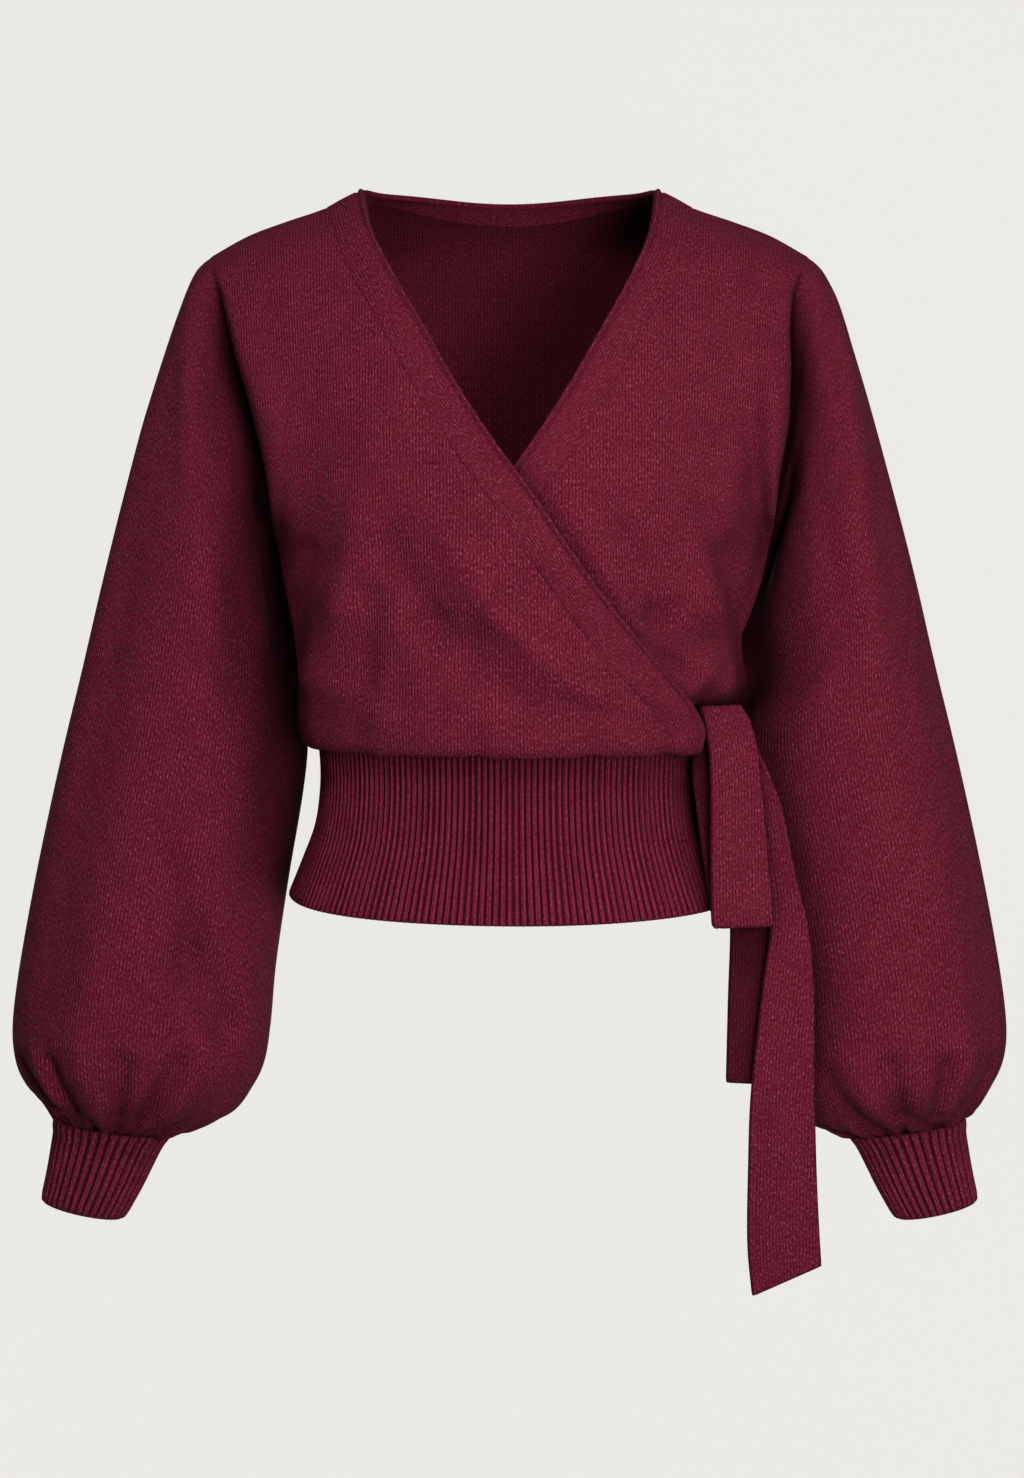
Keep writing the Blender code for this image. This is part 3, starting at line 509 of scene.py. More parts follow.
# %% Make the two fronts
CLOTH_THICKNESS = 2.0
SEAM_SINK = 0.5
SEAM_SOFT = 2.0
BAND_SEAM_SINK = 0.3
BAND_SEAM_SOFT = 1.0
NEAR_EDGE = 0.002
PANEL_LEVELS = 130
FRONT_COLUMNS = 120
EDGE_CROWDING = 1.3
HOLLOW = {"front": 38.0, "back": 14.0}
HOLLOW_ROWS = (0.6, 4.2, 6.6, 8.0)
HOLLOW_ON_PANEL = 2.0
HOLLOW_ON_SLEEVE = 27.0
ARM_SPREAD = 7.0
SPREAD_ROWS = (1.6, 4.0, 6.5, 10.0)
SPREAD_ON_PANEL = 22.0
EDGE_TUCK = 8.0
TUCK_ROWS = (4.8, 7.0, 8.2, 12.0)
EDGE_TUCK_ON_PANEL = 5.0
SIDE_ROLLS = {"outer": 8.0, "inner": 15.0, "back": 6.0}
ROLL_ROWS = (2.5, 5.5, 10.0, 13.0)
SIDE_ROLL_IN = 14.0
SIDE_ROLL_WIDTH = 16.0


def shares(count):
    """Even shares from 0 to 1 with one more beside each end, so that a seam's soft edge stays narrow."""
    even = np.linspace(0, 1, count)
    return np.concatenate([[0, NEAR_EDGE], even[1:-1], [1 - NEAR_EDGE, 1]])


def levels(count):
    """Fractional rows from the shoulder to the waist, closer where the blouse turns under."""
    return np.interp(shares(count), (0, 0.50, 0.80, 1), (0, UNDERARM, 12, WAIST_SEAM))


def panel_map(u, row, side):
    """Place on the cloth in metres. Across: half width times arc over its sine times u, which spaces
    the stitches evenly at the middle. Along: the middle line's length down from the shoulder."""
    arc = np.radians(along(BODY["arc"], row))
    across = half_width(row, smooth(u, 0.0, 1.0)) * arc / np.sin(arc) * u
    fine = np.linspace(0, WAIST_SEAM, 641)
    middle = np.stack([along(BODY[side + "_y"], fine), along(BODY[side + "_z"], fine)], axis=-1)
    return np.stack(matched(across, np.interp(row, fine, run_along(middle))), axis=-1) * MM


def seam_dip(stitch_map, flat_end):
    """How far the cloth sinks near its side columns: a bell of the distance to each. At a flat end,
    which is the band's seam, it hardly sinks."""
    across = stitch_map[..., 0] / MM
    first, last = np.abs(across - across[:, :1]), np.abs(across - across[:, -1:])
    sink, soft = (BAND_SEAM_SINK, BAND_SEAM_SOFT) if flat_end else (SEAM_SINK, SEAM_SOFT)
    return -SEAM_SINK * bell(first, SEAM_SOFT) - sink * bell(last, soft)


def arm_hollow(loop_row, side):
    """Depth of the hollow in front of and behind the arm, by armhole level: none at the shoulder or
    right under the arm."""
    return HOLLOW[side] * between(loop_row, *HOLLOW_ROWS)


def arm_spread(row):
    """How far the panels reach out beside the arm, by level."""
    return ARM_SPREAD * between(row, *SPREAD_ROWS)


def edge_spread(row):
    """The same at the armhole's own edge, which is tucked in under the arm."""
    return arm_spread(row) - EDGE_TUCK * between(row, *TUCK_ROWS)


def shape_beside_arm(points, stitch_map, row, panel):
    """Let a panel's edge reach out over the hollow, stand forward in a soft roll and turn back into it.
    Each change dies off with the distance from the edge, by a power of e or a bell."""
    across = stitch_map[..., 0] / MM
    side, back, ends = ("back", -1, (0, -1)) if panel == "back" else ("front", 1, (0,))
    spread = arm_spread(row)
    for end in ends:
        far = np.abs(across - across[:, end][:, None])
        outside = np.sign(points[:, end, 0])[:, None]
        at_edge = np.exp(-far / EDGE_TUCK_ON_PANEL)
        reach = spread * (np.exp(-far / SPREAD_ON_PANEL) - at_edge) + edge_spread(row) * at_edge
        sunk = arm_hollow(row, side) * np.exp(-far / HOLLOW_ON_PANEL)
        roll = SIDE_ROLLS[panel] * between(row, *ROLL_ROWS) * bell(far - SIDE_ROLL_IN, SIDE_ROLL_WIDTH)
        points[..., 0] += outside * reach
        points[..., 1] += back * (sunk - roll)
    return points


def make_panel(name, surface, u, row, panel):
    """A panel's wall from its surface and grid: the outer face, and the same one thickness further in."""
    behind = panel == "back"
    stitches = panel_map(u, row, "back" if behind else "front")
    dip = seam_dip(stitches, not behind)
    walls = [shape_beside_arm(surface(u, row, lift), stitches, row, panel)
             for lift in (dip, dip - CLOTH_THICKNESS)]
    make_cloth(name, *walls, stitches)


def make_front(panel, layer):
    """A front from its side seam to the band's seam."""
    side = LAYER_SIDE[layer]
    rows = levels(PANEL_LEVELS)
    share = shares(FRONT_COLUMNS) ** EDGE_CROWDING
    u = side + (band_seam_u(rows, layer, BAND_WIDTH) - side)[:, None] * share[None, :]
    row = rows[:, None] + 0 * share[None, :]
    make_panel(f"front_{panel}_cloth", lambda u, row, lift: front_at(u, row, layer, lift), u, row, panel)


make_front("inner", 1)
make_front("outer", 0)

# %% [markdown]
# ## The back
# The back is one panel too. Its top edge follows the shoulder seams and dips under the neck band, so the
# first levels are bent to that line and straighten out further down.

# %% Make the back
SHOULDER_COLUMNS = 32


def make_back():
    """The back panel. The neck's columns are put in order, so that none folds over its neighbour."""
    neck_u, neck_row = neck_line(BAND_WIDTH)
    neck_u = np.sort(neck_u)
    left = -1 + (neck_u[0] + 1) * (shares(SHOULDER_COLUMNS) ** EDGE_CROWDING)[:-2]
    columns = np.concatenate([left, neck_u, -left[::-1]])
    top = np.concatenate([0 * left, neck_row, 0 * left])
    rows = levels(PANEL_LEVELS)
    row = rows[:, None] + np.clip(1 - rows / UNDERARM, 0, 1)[:, None] * top[None, :]
    make_panel("back_cloth", back_at, columns[None, :] + 0 * rows[:, None], row, "back")


make_back()

# %% [markdown]
# ## The neck band
# A long strip is folded double along its length and sewn on by its open side. The fold makes a small
# round roll at the edge. Its stitches run along the strip, so it looks smoother than the panels.

# %% Make the neck band
BAND_PROFILE_WIDTHS = np.array((0.0, 0.7, 1.4, 2.0, 2.5, 3.0, 3.6, 4.5, 6.0, 9.0, 12.0, 15.0, 18.0, 20.0,
                                21.4, 22.1, 22.6, 23.0))
BAND_BELLS = table("place height width", [(1.0, 0.5, 1.0), (3.0, -0.9, 0.9), (BAND_WIDTH, -0.6, 1.0)])
BAND_PROUD = 0.25
BAND_DOME = 0.8
BAND_DOME_TO = 12.0
BAND_LEVELS = 120


def band_lift(width):
    """Height of the band over the panels: a gentle dome, the roll of the folded edge, a groove beside
    it, and a small dip to the seam."""
    dome = BAND_DOME * (1 - smooth(width, BAND_DOME_TO, BAND_WIDTH)) + BAND_PROUD
    bells = [tall * bell(width - place, wide) for place, tall, wide in zip(*BAND_BELLS.values())]
    return dome + sum(bells)


def band_line(width, lift):
    """One line of the band, width inside its edge: outer front, back neck, inner front."""
    down = levels(BAND_LEVELS)
    outer = front_at(band_seam_u(down[::-1], 0, width), down[::-1], 0, lift)
    u, row = neck_line(width)
    inner = front_at(band_seam_u(down, 1, width), down, 1, lift)
    return np.vstack([outer, back_at(u, row, lift)[1:-1], inner])


def make_neck_band():
    """The band as a grid: along its length by rows, across its width by columns."""
    widths = BAND_PROFILE_WIDTHS
    faces = [np.stack([band_line(width, lift) for width, lift in zip(widths, lifts)], axis=1)
             for lifts in (band_lift(widths), np.full_like(widths, -CLOTH_THICKNESS))]
    make_cloth("neck_band_cloth", *faces, cloth_map(faces[0], False))


make_neck_band()

# %% [markdown]
# ## The ribbed waistband
# The rib is knitted in columns that stand forward and back by turns, so it springs in and holds the waist.
# Each crest is a rounded wave across the band. The outer front's end is finished plain.

# %% Make the waistbands
WAIST = table("z half_width front back", [
    (-338.5, 120.8, 92.2, 80.8), (-352, 118.6, 89.5, 79), (-372, 118.2, 88.5, 78.5),
    (-397, 121.6, 91.5, 82), (-421, 130.5, 98.5, 90), (-440, 138.2, 104.5, 97)])
HEM_DROOP = {"front": 7.0, "back": 3.0}
TIE_PULL = 6.0
TIE_PULL_AT = math.radians(78)
TIE_PULL_WIDTH = math.radians(8)
WAIST_RIBS = 90
RIB_PITCH = 0.0039
RIB_THICKNESS = 2.4
RIB_DEPTH = 1.0
RIB_ROUNDNESS = 0.65
POINTS_A_RIB = 8
RIB_LEVELS = 26
OUTER_END = 68.0
PLAIN_END = 2.2


def waist_point(turn, row, side, layer=None):
    """Waist point and its level direction outward. x is the half width times the angle's sine, and the
    depth goes as a power of its cosine. The hem droops a little at the middle."""
    half, deep = along(WAIST["half_width"], row), along(WAIST[side], row)
    sign = -1 if side == "front" else 1
    rounded = np.maximum(np.cos(turn), 0) ** (2 * FULLNESS)
    x = half * np.sin(turn)
    z = along(WAIST["z"], row) - HEM_DROOP[side] * rounded * smooth(row, 0, 5)
    point = np.stack(matched(x, sign * deep * rounded, z), axis=-1)
    facing = unit(np.stack(matched(np.sin(turn) / half, sign * np.cos(turn) / deep, 0 * z), axis=-1))
    if layer is not None:
        pull = TIE_PULL * bell(turn - TIE_PULL_AT, TIE_PULL_WIDTH)
        point = point + facing * (lap_height(x, layer) - pull)[..., None]
    return point, facing


def even_turns(start, end, count):
    """Angles in radians that space count + 1 points evenly round the waist."""
    fine = np.radians(np.linspace(start, end, 1441))
    point, _ = waist_point(fine, 3.0, "front")
    length = run_along(point)
    return np.interp(np.linspace(0, length[-1], count + 1), length, fine)


def rib_wave(phase):
    """Ribs: the absolute cosine makes round crests (1) with narrow valleys (-1), one for each phase."""
    return 2 * np.abs(np.cos(math.pi * phase)) ** RIB_ROUNDNESS - 1


def make_waistband(name, side, start, end, layer=None, plain_end=0.0):
    """A ribbed band with a plain inside. plain_end is how many ribs at its end are left plain."""
    ribs = round(WAIST_RIBS * (end - start) / 180)
    phase = np.linspace(0, ribs, ribs * POINTS_A_RIB + 1)
    turn, row = np.meshgrid(even_turns(start, end, ribs * POINTS_A_RIB), np.linspace(0, 5, RIB_LEVELS))
    point, facing = waist_point(turn, row, side, layer)
    height = RIB_DEPTH * rib_wave(phase)[None, :] * smooth(row, -0.2, 0.5)
    if plain_end:
        height = height * smooth(ribs - phase, plain_end - 0.4, plain_end + 0.4)[None, :]
    outer = point + facing * height[..., None]
    stitches = cloth_map(point, False)
    stitches[..., 0] = phase[None, :] * RIB_PITCH
    make_cloth(name, outer, point - facing * RIB_THICKNESS, stitches)


make_waistband("waistband_outer_rib", "front", -90, OUTER_END, 0, PLAIN_END)
make_waistband("waistband_inner_rib", "front", -90, 90, 1)
make_waistband("waistband_back_rib", "back", -90, 90)

# %% [markdown]
# ## The sleeves
# A sleeve is cut wide at the bottom and gathered into its cuff. It starts at the armhole and widens into
# tilted oval rings along the arm. Its own weight makes long folds down the arm, and the gathers spread
# upward from the cuff, each in its own width and height, as no two are alike.

# %% The sleeves' tables
RING_COLUMNS = "x_out y_out z_out x_in y_in z_in front back"
SLEEVE = table(RING_COLUMNS, [
    (187, 0, -43.5, 144.5, 0, -217, 56, 60),
    (197, 2, -54.5, 145.3, 10, -225, 57, 60),
    (208.5, 4, -82, 143.8, 22, -240, 58, 60),
    (222, 6, -122, 139.8, 32, -260, 59, 61),
    (239.5, 9, -183, 134.8, 38, -288, 60, 62),
    (255.5, 12, -242, 131, 40, -318, 61, 63),
    (270, 15, -300, 129.2, 38, -350, 62, 64),
    (284.5, 17, -357, 132.5, 34, -383, 63, 65),
    (300, 18, -425, 141.3, 29, -435, 64, 67),
    (312, 18, -487, 149.5, 25, -490, 66, 68),
    (317.3, 18, -526, 153, 22, -528, 66, 67),
    (316, 17, -548.5, 157, 19, -553, 63, 64),
    (310, 16, -565, 165, 18, -570, 56, 57),
    (301, 15, -577, 180.5, 17, -586, 44, 45),
    (293.5, 14.5, -584.5, 205, 15.5, -595.5, 31, 32),
    (290.5, 14.5, -588, 218, 14.5, -598.5, 26, 26)])
LEFT_X_IN = (161, 164.5, 161, 154, 147, 150.5, 131, 130)
LEFT_SLEEVE = dict(SLEEVE, x_in=np.concatenate([LEFT_X_IN, SLEEVE["x_in"][len(LEFT_X_IN):]]))
SLEEVE_FOLD_COLUMNS = "angle_start row_start angle_end row_end width height"
LEFT_SLEEVE_FOLDS = table(SLEEVE_FOLD_COLUMNS, [
    (62, 2.5, 66, 8, 16, 2.7), (8, 1.5, 46, 3.0, 12, 3.1), (46, 3.0, 67, 4.4, 13, 3.7),
    (67, 4.4, 80, 7.8, 14, 3.1), (58, 0.7, 116, 1.8, 10, -3.4), (116, 1.8, 142, 2.7, 12, -5.1),
    (118, 3.0, 132, 6.5, 13, 3.7), (95, 7.5, 100, 10.5, 16, -3.7), (128, 6.8, 140, 9.6, 11, -3.4),
    (52, 8.2, 60, 10.8, 12, 1.8), (24, 6.0, 30, 9.5, 14, -2.4), (180, 4.6, 182, 5.5, 16, 16.0),
    (30, 10.9, 38, 12.9, 5, -4.2), (50, 10.4, 56, 12.6, 6, 3.2), (62, 10.8, 64, 13.1, 5, -4.6),
    (78, 10.2, 74, 12.6, 7, 3.4), (90, 10.7, 84, 13.0, 5, -4.4), (106, 10.6, 98, 12.6, 6, 3.0),
    (120, 11.0, 110, 12.9, 6, -4.0), (60, 9.4, 66, 11.0, 7, -1.2), (250, 2, 262, 7.5, 20, 4.2),
    (300, 4, 290, 10, 20, 3.4), (222, 3.5, 236, 8.0, 12, -3.7), (274, 6.5, 270, 10.2, 12, -3.1)])
RIGHT_SLEEVE_FOLDS = table(SLEEVE_FOLD_COLUMNS, [
    (78, 3, 70, 9.5, 20, 2.7), (24, 1.3, 60, 2.4, 12, 2.7), (60, 2.4, 89, 4.5, 14, 3.7),
    (89, 4.5, 108, 8.2, 15, 3.4), (126, 1.4, 144, 4.1, 11, -5.1), (128, 4.0, 120, 6.5, 12, 2.4),
    (94, 7.8, 112, 8.7, 9, -6.5), (112, 8.7, 134, 9.7, 9, -8.5), (112, 8.0, 146, 9.2, 9, 2.4),
    (42, 5, 50, 9, 16, -3.4), (22, 3.5, 28, 7.0, 12, 2.4), (70, 8.6, 62, 10.8, 12, 1.6),
    (24, 11.0, 42, 12.9, 5, -4.2), (40, 10.6, 50, 12.5, 5, 3.0), (50, 10.8, 58, 13.1, 5, -4.8),
    (68, 10.4, 69, 12.6, 8, 3.8), (86, 10.6, 83, 13.0, 5, -4.2), (99, 10.4, 91, 12.5, 7, 3.2),
    (112, 10.6, 96, 13.1, 5.5, -5.0), (124, 10.4, 112, 12.6, 7, 3.0), (258, 2.5, 250, 8, 20, 4.2),
    (312, 4, 300, 9.5, 20, 3.4), (228, 3.0, 222, 7.5, 12, -3.7), (284, 6.0, 276, 10.0, 12, -3.1)])
GATHERS = table("angle width height", [
    (14, 12, 3.5), (50, 14, 4.5), (88, 12, 3.8), (122, 13, 4.6), (160, 12, 3.6),
    (202, 13, 4.2), (240, 13, 3.8), (282, 14, 4.6), (322, 12, 4.0)])
SMALL_GATHERS = table("count turn height", [(19, 0.0, 0.7), (26, 1.3, 0.8), (37, 2.9, 0.6), (13, 4.4, 0.7)])
GATHER_LEAN = 8.0
GATHER_SHIFT = 17.0
GATHER_ROW = 14
GATHER_RISE = (10.6, 13.4)
GATHER_EASE = (13.6, 15.0)
SMALL_GATHER_LEAN = 5
SMALL_GATHER_RISE = (11.8, 14.2)
SLEEVE_FOLD_ROWS = (0.5, 2.5, 12.0, 15.0)
SLEEVE_AROUND = 190
SLEEVE_LEVELS = 175
LOOP_ENDS = 4.5
RING_GAP = 16
RING_DEGREES = 20.0
UNDER_TURN = 16.0
UNDER_TURN_AT = 142.0
UNDER_TURN_WIDE = 50.0
UNDER_TURN_ROWS = {"left": (0.8, 2.6, 9.0, 12.0), "right": (0.8, 2.6, 5.5, 9.0)}
UNDERARM_TUCK = (2.5, 12.0)
UNDERARM_TUCK_LOOP = (6.4, 7.6)
UNDERARM_TUCK_ROWS = (0.0, 0.6, 2.5, 4.5)
SIDES = {"left": np.array((1.0, 1.0, 1.0)), "right": np.array((-1.0, 1.0, 1.0))}
print("sleeve rings:", len(SLEEVE["x_out"]))

# %% Make the sleeves


def armhole_loop(angle, half):
    """The armhole, by degrees: 0 at the shoulder, 90 in front, 180 under the arm."""
    angle = np.asarray(angle, float) % 360
    front = angle <= 180
    row = np.where(front, angle, 360 - angle) / 180 * UNDERARM
    y = np.where(front, along(BODY["edge_front"], row), along(BODY["edge_back"], row))
    return np.stack([along(BODY[half], row), y, along(BODY["edge_z"], row)], axis=-1)


def ring_point(rings, angle, row):
    """Point of a tilted oval ring, whose long axis joins its outer and inner points."""
    turn = np.radians(angle)
    out, inside = line_point(rings, "_out", row), line_point(rings, "_in", row)
    deep = np.where(np.sin(turn) > 0, -along(rings["front"], row), along(rings["back"], row))
    point = (out + inside) / 2 + (out - inside) / 2 * np.cos(turn)[..., None]
    point[..., 1] += deep * np.abs(np.sin(turn))
    return point


def sleeve_base(left, angle, row):
    """A sleeve without folds: the armhole's loop turns into oval rings over the first rows."""
    rings, half = (LEFT_SLEEVE, "left_x") if left else (SLEEVE, "right_x")
    angle, row = matched(angle, row)
    loop = armhole_loop(angle, half) - ring_point(rings, angle, np.zeros_like(row))
    return ring_point(rings, angle, row) + loop * (1 - smooth(row, 0, LOOP_ENDS))[..., None]


def sleeve_normal(left, angle, row):
    """Unit normal away from the arm, from the cross product of small steps round and down."""
    return unit(np.cross(*slopes(lambda a, b: sleeve_base(left, a, b), angle, row, 0.1, 0.01)))


def gather_height(angle, row, shift):
    """Gathers: bell-shaped ridges that lean as they fade upward, and small waves near the seam."""
    grow = smooth(row, *GATHER_RISE) * (1 - 0.85 * smooth(row, *GATHER_EASE))
    height = np.zeros_like(angle)
    for place, width, tall in zip(*GATHERS.values()):
        far = (angle - place - shift - GATHER_LEAN * (GATHER_ROW - row) + 180) % 360 - 180
        height += tall * bell(far, width)
    turn = np.radians(angle + shift + SMALL_GATHER_LEAN * (GATHER_ROW - row))
    small = sum(h * np.sin(n * turn + t) for n, t, h in zip(*SMALL_GATHERS.values()))
    return (height - GATHERS["height"].mean() / 2) * grow + small * smooth(row, *SMALL_GATHER_RISE)


def sleeve_folds(folds, angle, row):
    """Folds measured round the sleeve; one ring's distance counts as RING_DEGREES degrees."""
    scaled = dict(folds, **{key: folds[key] * RING_DEGREES for key in ("row_start", "row_end")})
    return sum(fold_height(scaled, angle + turn, row * RING_DEGREES) for turn in (-360.0, 0.0, 360.0))


def sleeve_at(left, angle, row, lift):
    """A sleeve point with folds, gathers and a dip at the armhole's seam. It sinks into the hollow beside
    the panels, turns away under the arm, and tucks in right below it. It is drawn at +X."""
    folds, shift = (LEFT_SLEEVE_FOLDS, 0.0) if left else (RIGHT_SLEEVE_FOLDS, GATHER_SHIFT)
    height = sleeve_folds(folds, angle, row) * between(row, *SLEEVE_FOLD_ROWS)
    height = height - SEAM_SINK * bell(row * RING_GAP, SEAM_SOFT) + gather_height(angle, row, shift) + lift
    base = sleeve_base(left, angle, row)
    point = base + sleeve_normal(left, angle, row) * height[..., None]
    from_seam = np.linalg.norm(base - sleeve_base(left, angle, 0.0), axis=-1)
    near = np.exp(-from_seam / HOLLOW_ON_SLEEVE)
    from_top = 180 - np.abs(180 - angle)
    loop_row = from_top / 180 * UNDERARM
    deep = np.where(angle < 180, arm_hollow(loop_row, "front"), -arm_hollow(loop_row, "back"))
    turned = UNDER_TURN * (1 - smooth(np.abs(from_top - UNDER_TURN_AT) / UNDER_TURN_WIDE, 0.0, 1.0))
    turned = turned * between(row, *UNDER_TURN_ROWS["left" if left else "right"])
    tuck = smooth(loop_row, *UNDERARM_TUCK_LOOP) * between(row, *UNDERARM_TUCK_ROWS)
    point[..., 0] += edge_spread(loop_row) * near - UNDERARM_TUCK[0] * tuck
    point[..., 1] += deep * near + np.where(angle < 180, turned, -0.5 * turned) + UNDERARM_TUCK[1] * tuck
    return point


def make_sleeve(side):
    """A sleeve from the armhole to the gathered seam; the right one is the mirrored side."""
    rows = np.interp(shares(SLEEVE_LEVELS), (0, 0.34, 0.72, 1), (0, 4, 10, 15))
    angle, row = np.meshgrid(np.arange(SLEEVE_AROUND) * 360.0 / SLEEVE_AROUND, rows)
    faces = [sleeve_at(side == "left", angle, row, lift) * SIDES[side] for lift in (0.0, -CLOTH_THICKNESS)]
    stitches = cloth_map(faces[0], True)
    stitches[..., 0] = stitches[..., 0].max() * np.linspace(0, 1, SLEEVE_AROUND + 1)
    make_cloth(f"sleeve_{side}_cloth", *faces, stitches, tube=True)


make_sleeve("left")
make_sleeve("right")

# %% [markdown]
# ## The cuffs
# The cuff is the same rib, knitted as a tube that grips the wrist. Its crests flare where the gathered
# sleeve is sewn on, and the bottom edge is thin and round.

# %% Make the cuffs
CUFF = table(RING_COLUMNS, [
    (290, 14.5, -588.6, 218.6, 14.5, -599.2, 25.6, 25.6),
    (292.5, 14, -605, 226.5, 14, -614, 24.5, 24.5),
    (295.5, 13.5, -622, 236, 13.5, -633, 23, 23),
    (299.5, 13, -640.5, 247, 13, -652.5, 20.5, 20.5)])
CUFF_RIBS = 37
CUFF_RIB_PITCH = 0.0051
CUFF_RIB_DEPTH = 1.1
CUFF_FLARE = 1.6


def make_cuff(side):
    """A ribbed tube. Its crests stand out from the ring's middle over a plain inside."""
    count = CUFF_RIBS * POINTS_A_RIB
    angle, row = np.meshgrid(np.arange(count) * 360.0 / count, np.linspace(0, 3, RIB_LEVELS))
    point = ring_point(CUFF, angle, row)
    facing = unit(point - (point + ring_point(CUFF, angle + 180, row)) / 2)
    wave = rib_wave(np.arange(count) / POINTS_A_RIB)[None, :]
    height = CUFF_RIB_DEPTH * wave * smooth(row, -0.15, 0.3) * (1 - 0.6 * smooth(row, 2.8, 3.0))
    flare = CUFF_FLARE * (1 - smooth(row, 0, 0.6))
    lifts = (height + flare, flare - RIB_THICKNESS)
    faces = [(point + facing * lift[..., None]) * SIDES[side] for lift in lifts]
    stitches = cloth_map(point, True)
    stitches[..., 0] = CUFF_RIB_PITCH * np.arange(count + 1) / POINTS_A_RIB
    make_cloth(f"cuff_{side}_rib", *faces, stitches, tube=True)


make_cuff("left")
make_cuff("right")

# %% [markdown]
# ## The tie
# The tie is a doubled strip with a stitched line just inside each edge. It goes round the waist, makes one
# small knot at the side and ends in a loop and two tails. Each is a strip through its own left and right
# edges, level by level.

# %% Make the tie
TIE_COLUMNS = "z_left z_right x_left x_right y_left y_right"
TIE_LOOP = table(TIE_COLUMNS, [
    (-319, -319.5, 117, 142, -61, -48), (-326, -326.5, 119, 146.5, -62.5, -50.5),
    (-337, -336, 121.3, 149.5, -63.5, -53), (-352, -351, 123.3, 152.5, -67, -56),
    (-378, -378, 123.8, 155, -70, -60), (-410, -410, 123.8, 158, -72, -62.5),
    (-447, -447, 124.5, 161, -74, -65), (-453, -453, 126, 160.5, -70, -61),
    (-447, -447, 125, 160.5, -65, -56.5), (-420, -420, 121, 158.5, -63.5, -55.5),
    (-380, -380, 115.5, 153, -60, -53), (-353, -353, 113.5, 146, -57.5, -50),
    (-341, -341, 120.5, 142, -54.5, -48.5)])
TIE_LONG = table(TIE_COLUMNS, [
    (-330, -331, 136.8, 146, -45, -44.5), (-346, -346, 141, 152.5, -45, -44),
    (-362, -362, 146, 160, -46.5, -45), (-385, -385, 152, 168, -48, -46.5),
    (-423, -423, 159.5, 176, -50, -48), (-456, -456, 162, 184, -51, -49),
    (-498, -498, 157, 188, -51, -50), (-560, -560, 151, 188.5, -51, -50),
    (-610, -610, 149.6, 190, -50, -50), (-655, -648, 149.5, 192, -49, -50),
    (-688, -669, 152.5, 193.5, -48, -50)])
TIE_SHORT = table(TIE_COLUMNS, [
    (-338, -338, 122, 134, -38.2, -37.5), (-375, -375, 131.5, 149, -41, -39),
    (-410, -410, 136, 160, -42.5, -40.5), (-457, -457, 138, 169, -44, -42),
    (-500, -500, 137, 172, -44, -42), (-554, -556, 136, 173, -43, -42)])
TIE_THICKNESS = 3.0
STRAP_COLUMNS = 25
EDGE_THINNING = 0.18
EDGE_THIN_TO = 1.5
STITCH_LINE = 3.2
STITCH_DEPTH = 0.35
STITCH_WIDTH = 0.9
KNOT_MIDDLE = np.array((125.8, -45.0, -337.0))
KNOT_HALF = np.array((10.5, 4.8, 11.0))
KNOT_BLOCK = 0.6
KNOT_CREASES = table("along_x along_z place width depth", [
    (0.8, 0.6, 0.15, 0.16, 0.10), (0.5, 0.85, -0.42, 0.14, 0.08)])
KNOT_CLOTH = (0.066, 0.034)


def strap_point(rows, across, row):
    """Point of a strap: across runs from its left edge (0) to its right edge (1)."""
    left, right = line_point(rows, "_left", row), line_point(rows, "_right", row)
    return left + (right - left) * across[..., None]


def make_strap(name, rows, samples):
    """A doubled strip: both faces lie half its thickness off the middle, less a groove where the
    stitched line runs inside each edge."""
    shares_across, last_row = np.linspace(0, 1, STRAP_COLUMNS), len(rows["z_left"]) - 1
    across, row = np.meshgrid(shares_across, np.linspace(0, last_row, samples))
    over, down = slopes(lambda a, b: strap_point(rows, a, b), across, row, 1e-3, 1e-3)
    middle = strap_point(rows, across, row)
    wide = np.linalg.norm(middle[:, -1:] - middle[:, :1], axis=-1)
    inside = np.minimum(across, 1 - across) * wide
    half = TIE_THICKNESS / 2 * (1 - EDGE_THINNING * (1 - smooth(inside, 0, EDGE_THIN_TO)))
    half = half - STITCH_DEPTH * bell(inside - STITCH_LINE, STITCH_WIDTH)
    to_face = unit(np.cross(down, over)) * half[..., None]
    make_cloth(name, middle + to_face, middle - to_face, cloth_map(middle, False))


def make_knot(name):
    """The knot: a ball made blockier by a power on each direction, with two soft creases where the tie
    passes over itself."""
    shape = bmesh.new()
    cloth = shape.loops.layers.uv.new("cloth")
    bmesh.ops.create_uvsphere(shape, u_segments=64, v_segments=40, radius=1.0, calc_uvs=True)
    points = np.array([corner.co[:] for corner in shape.verts])
    faces = [[corner.index for corner in face.verts] for face in shape.faces]
    places = np.array([loop[cloth].uv[:] for face in shape.faces for loop in face.loops])
    shape.free()
    crease = 1.0
    for x, z, place, width, depth in zip(*KNOT_CREASES.values()):
        crease = crease - depth * bell(points[:, 0] * x + points[:, 2] * z - place, width)
    points = np.sign(points) * np.abs(points) ** KNOT_BLOCK * crease[:, None] * KNOT_HALF + KNOT_MIDDLE
    make_mesh(name, points, faces, places * KNOT_CLOTH)


TIE_ENDS = {"loop": (TIE_LOOP, 170), "tail_long": (TIE_LONG, 170), "tail_short": (TIE_SHORT, 110)}
for end, (rows, samples) in TIE_ENDS.items():
    make_strap(f"tie_{end}_cloth", rows, samples)
make_knot("tie_knot_cloth")
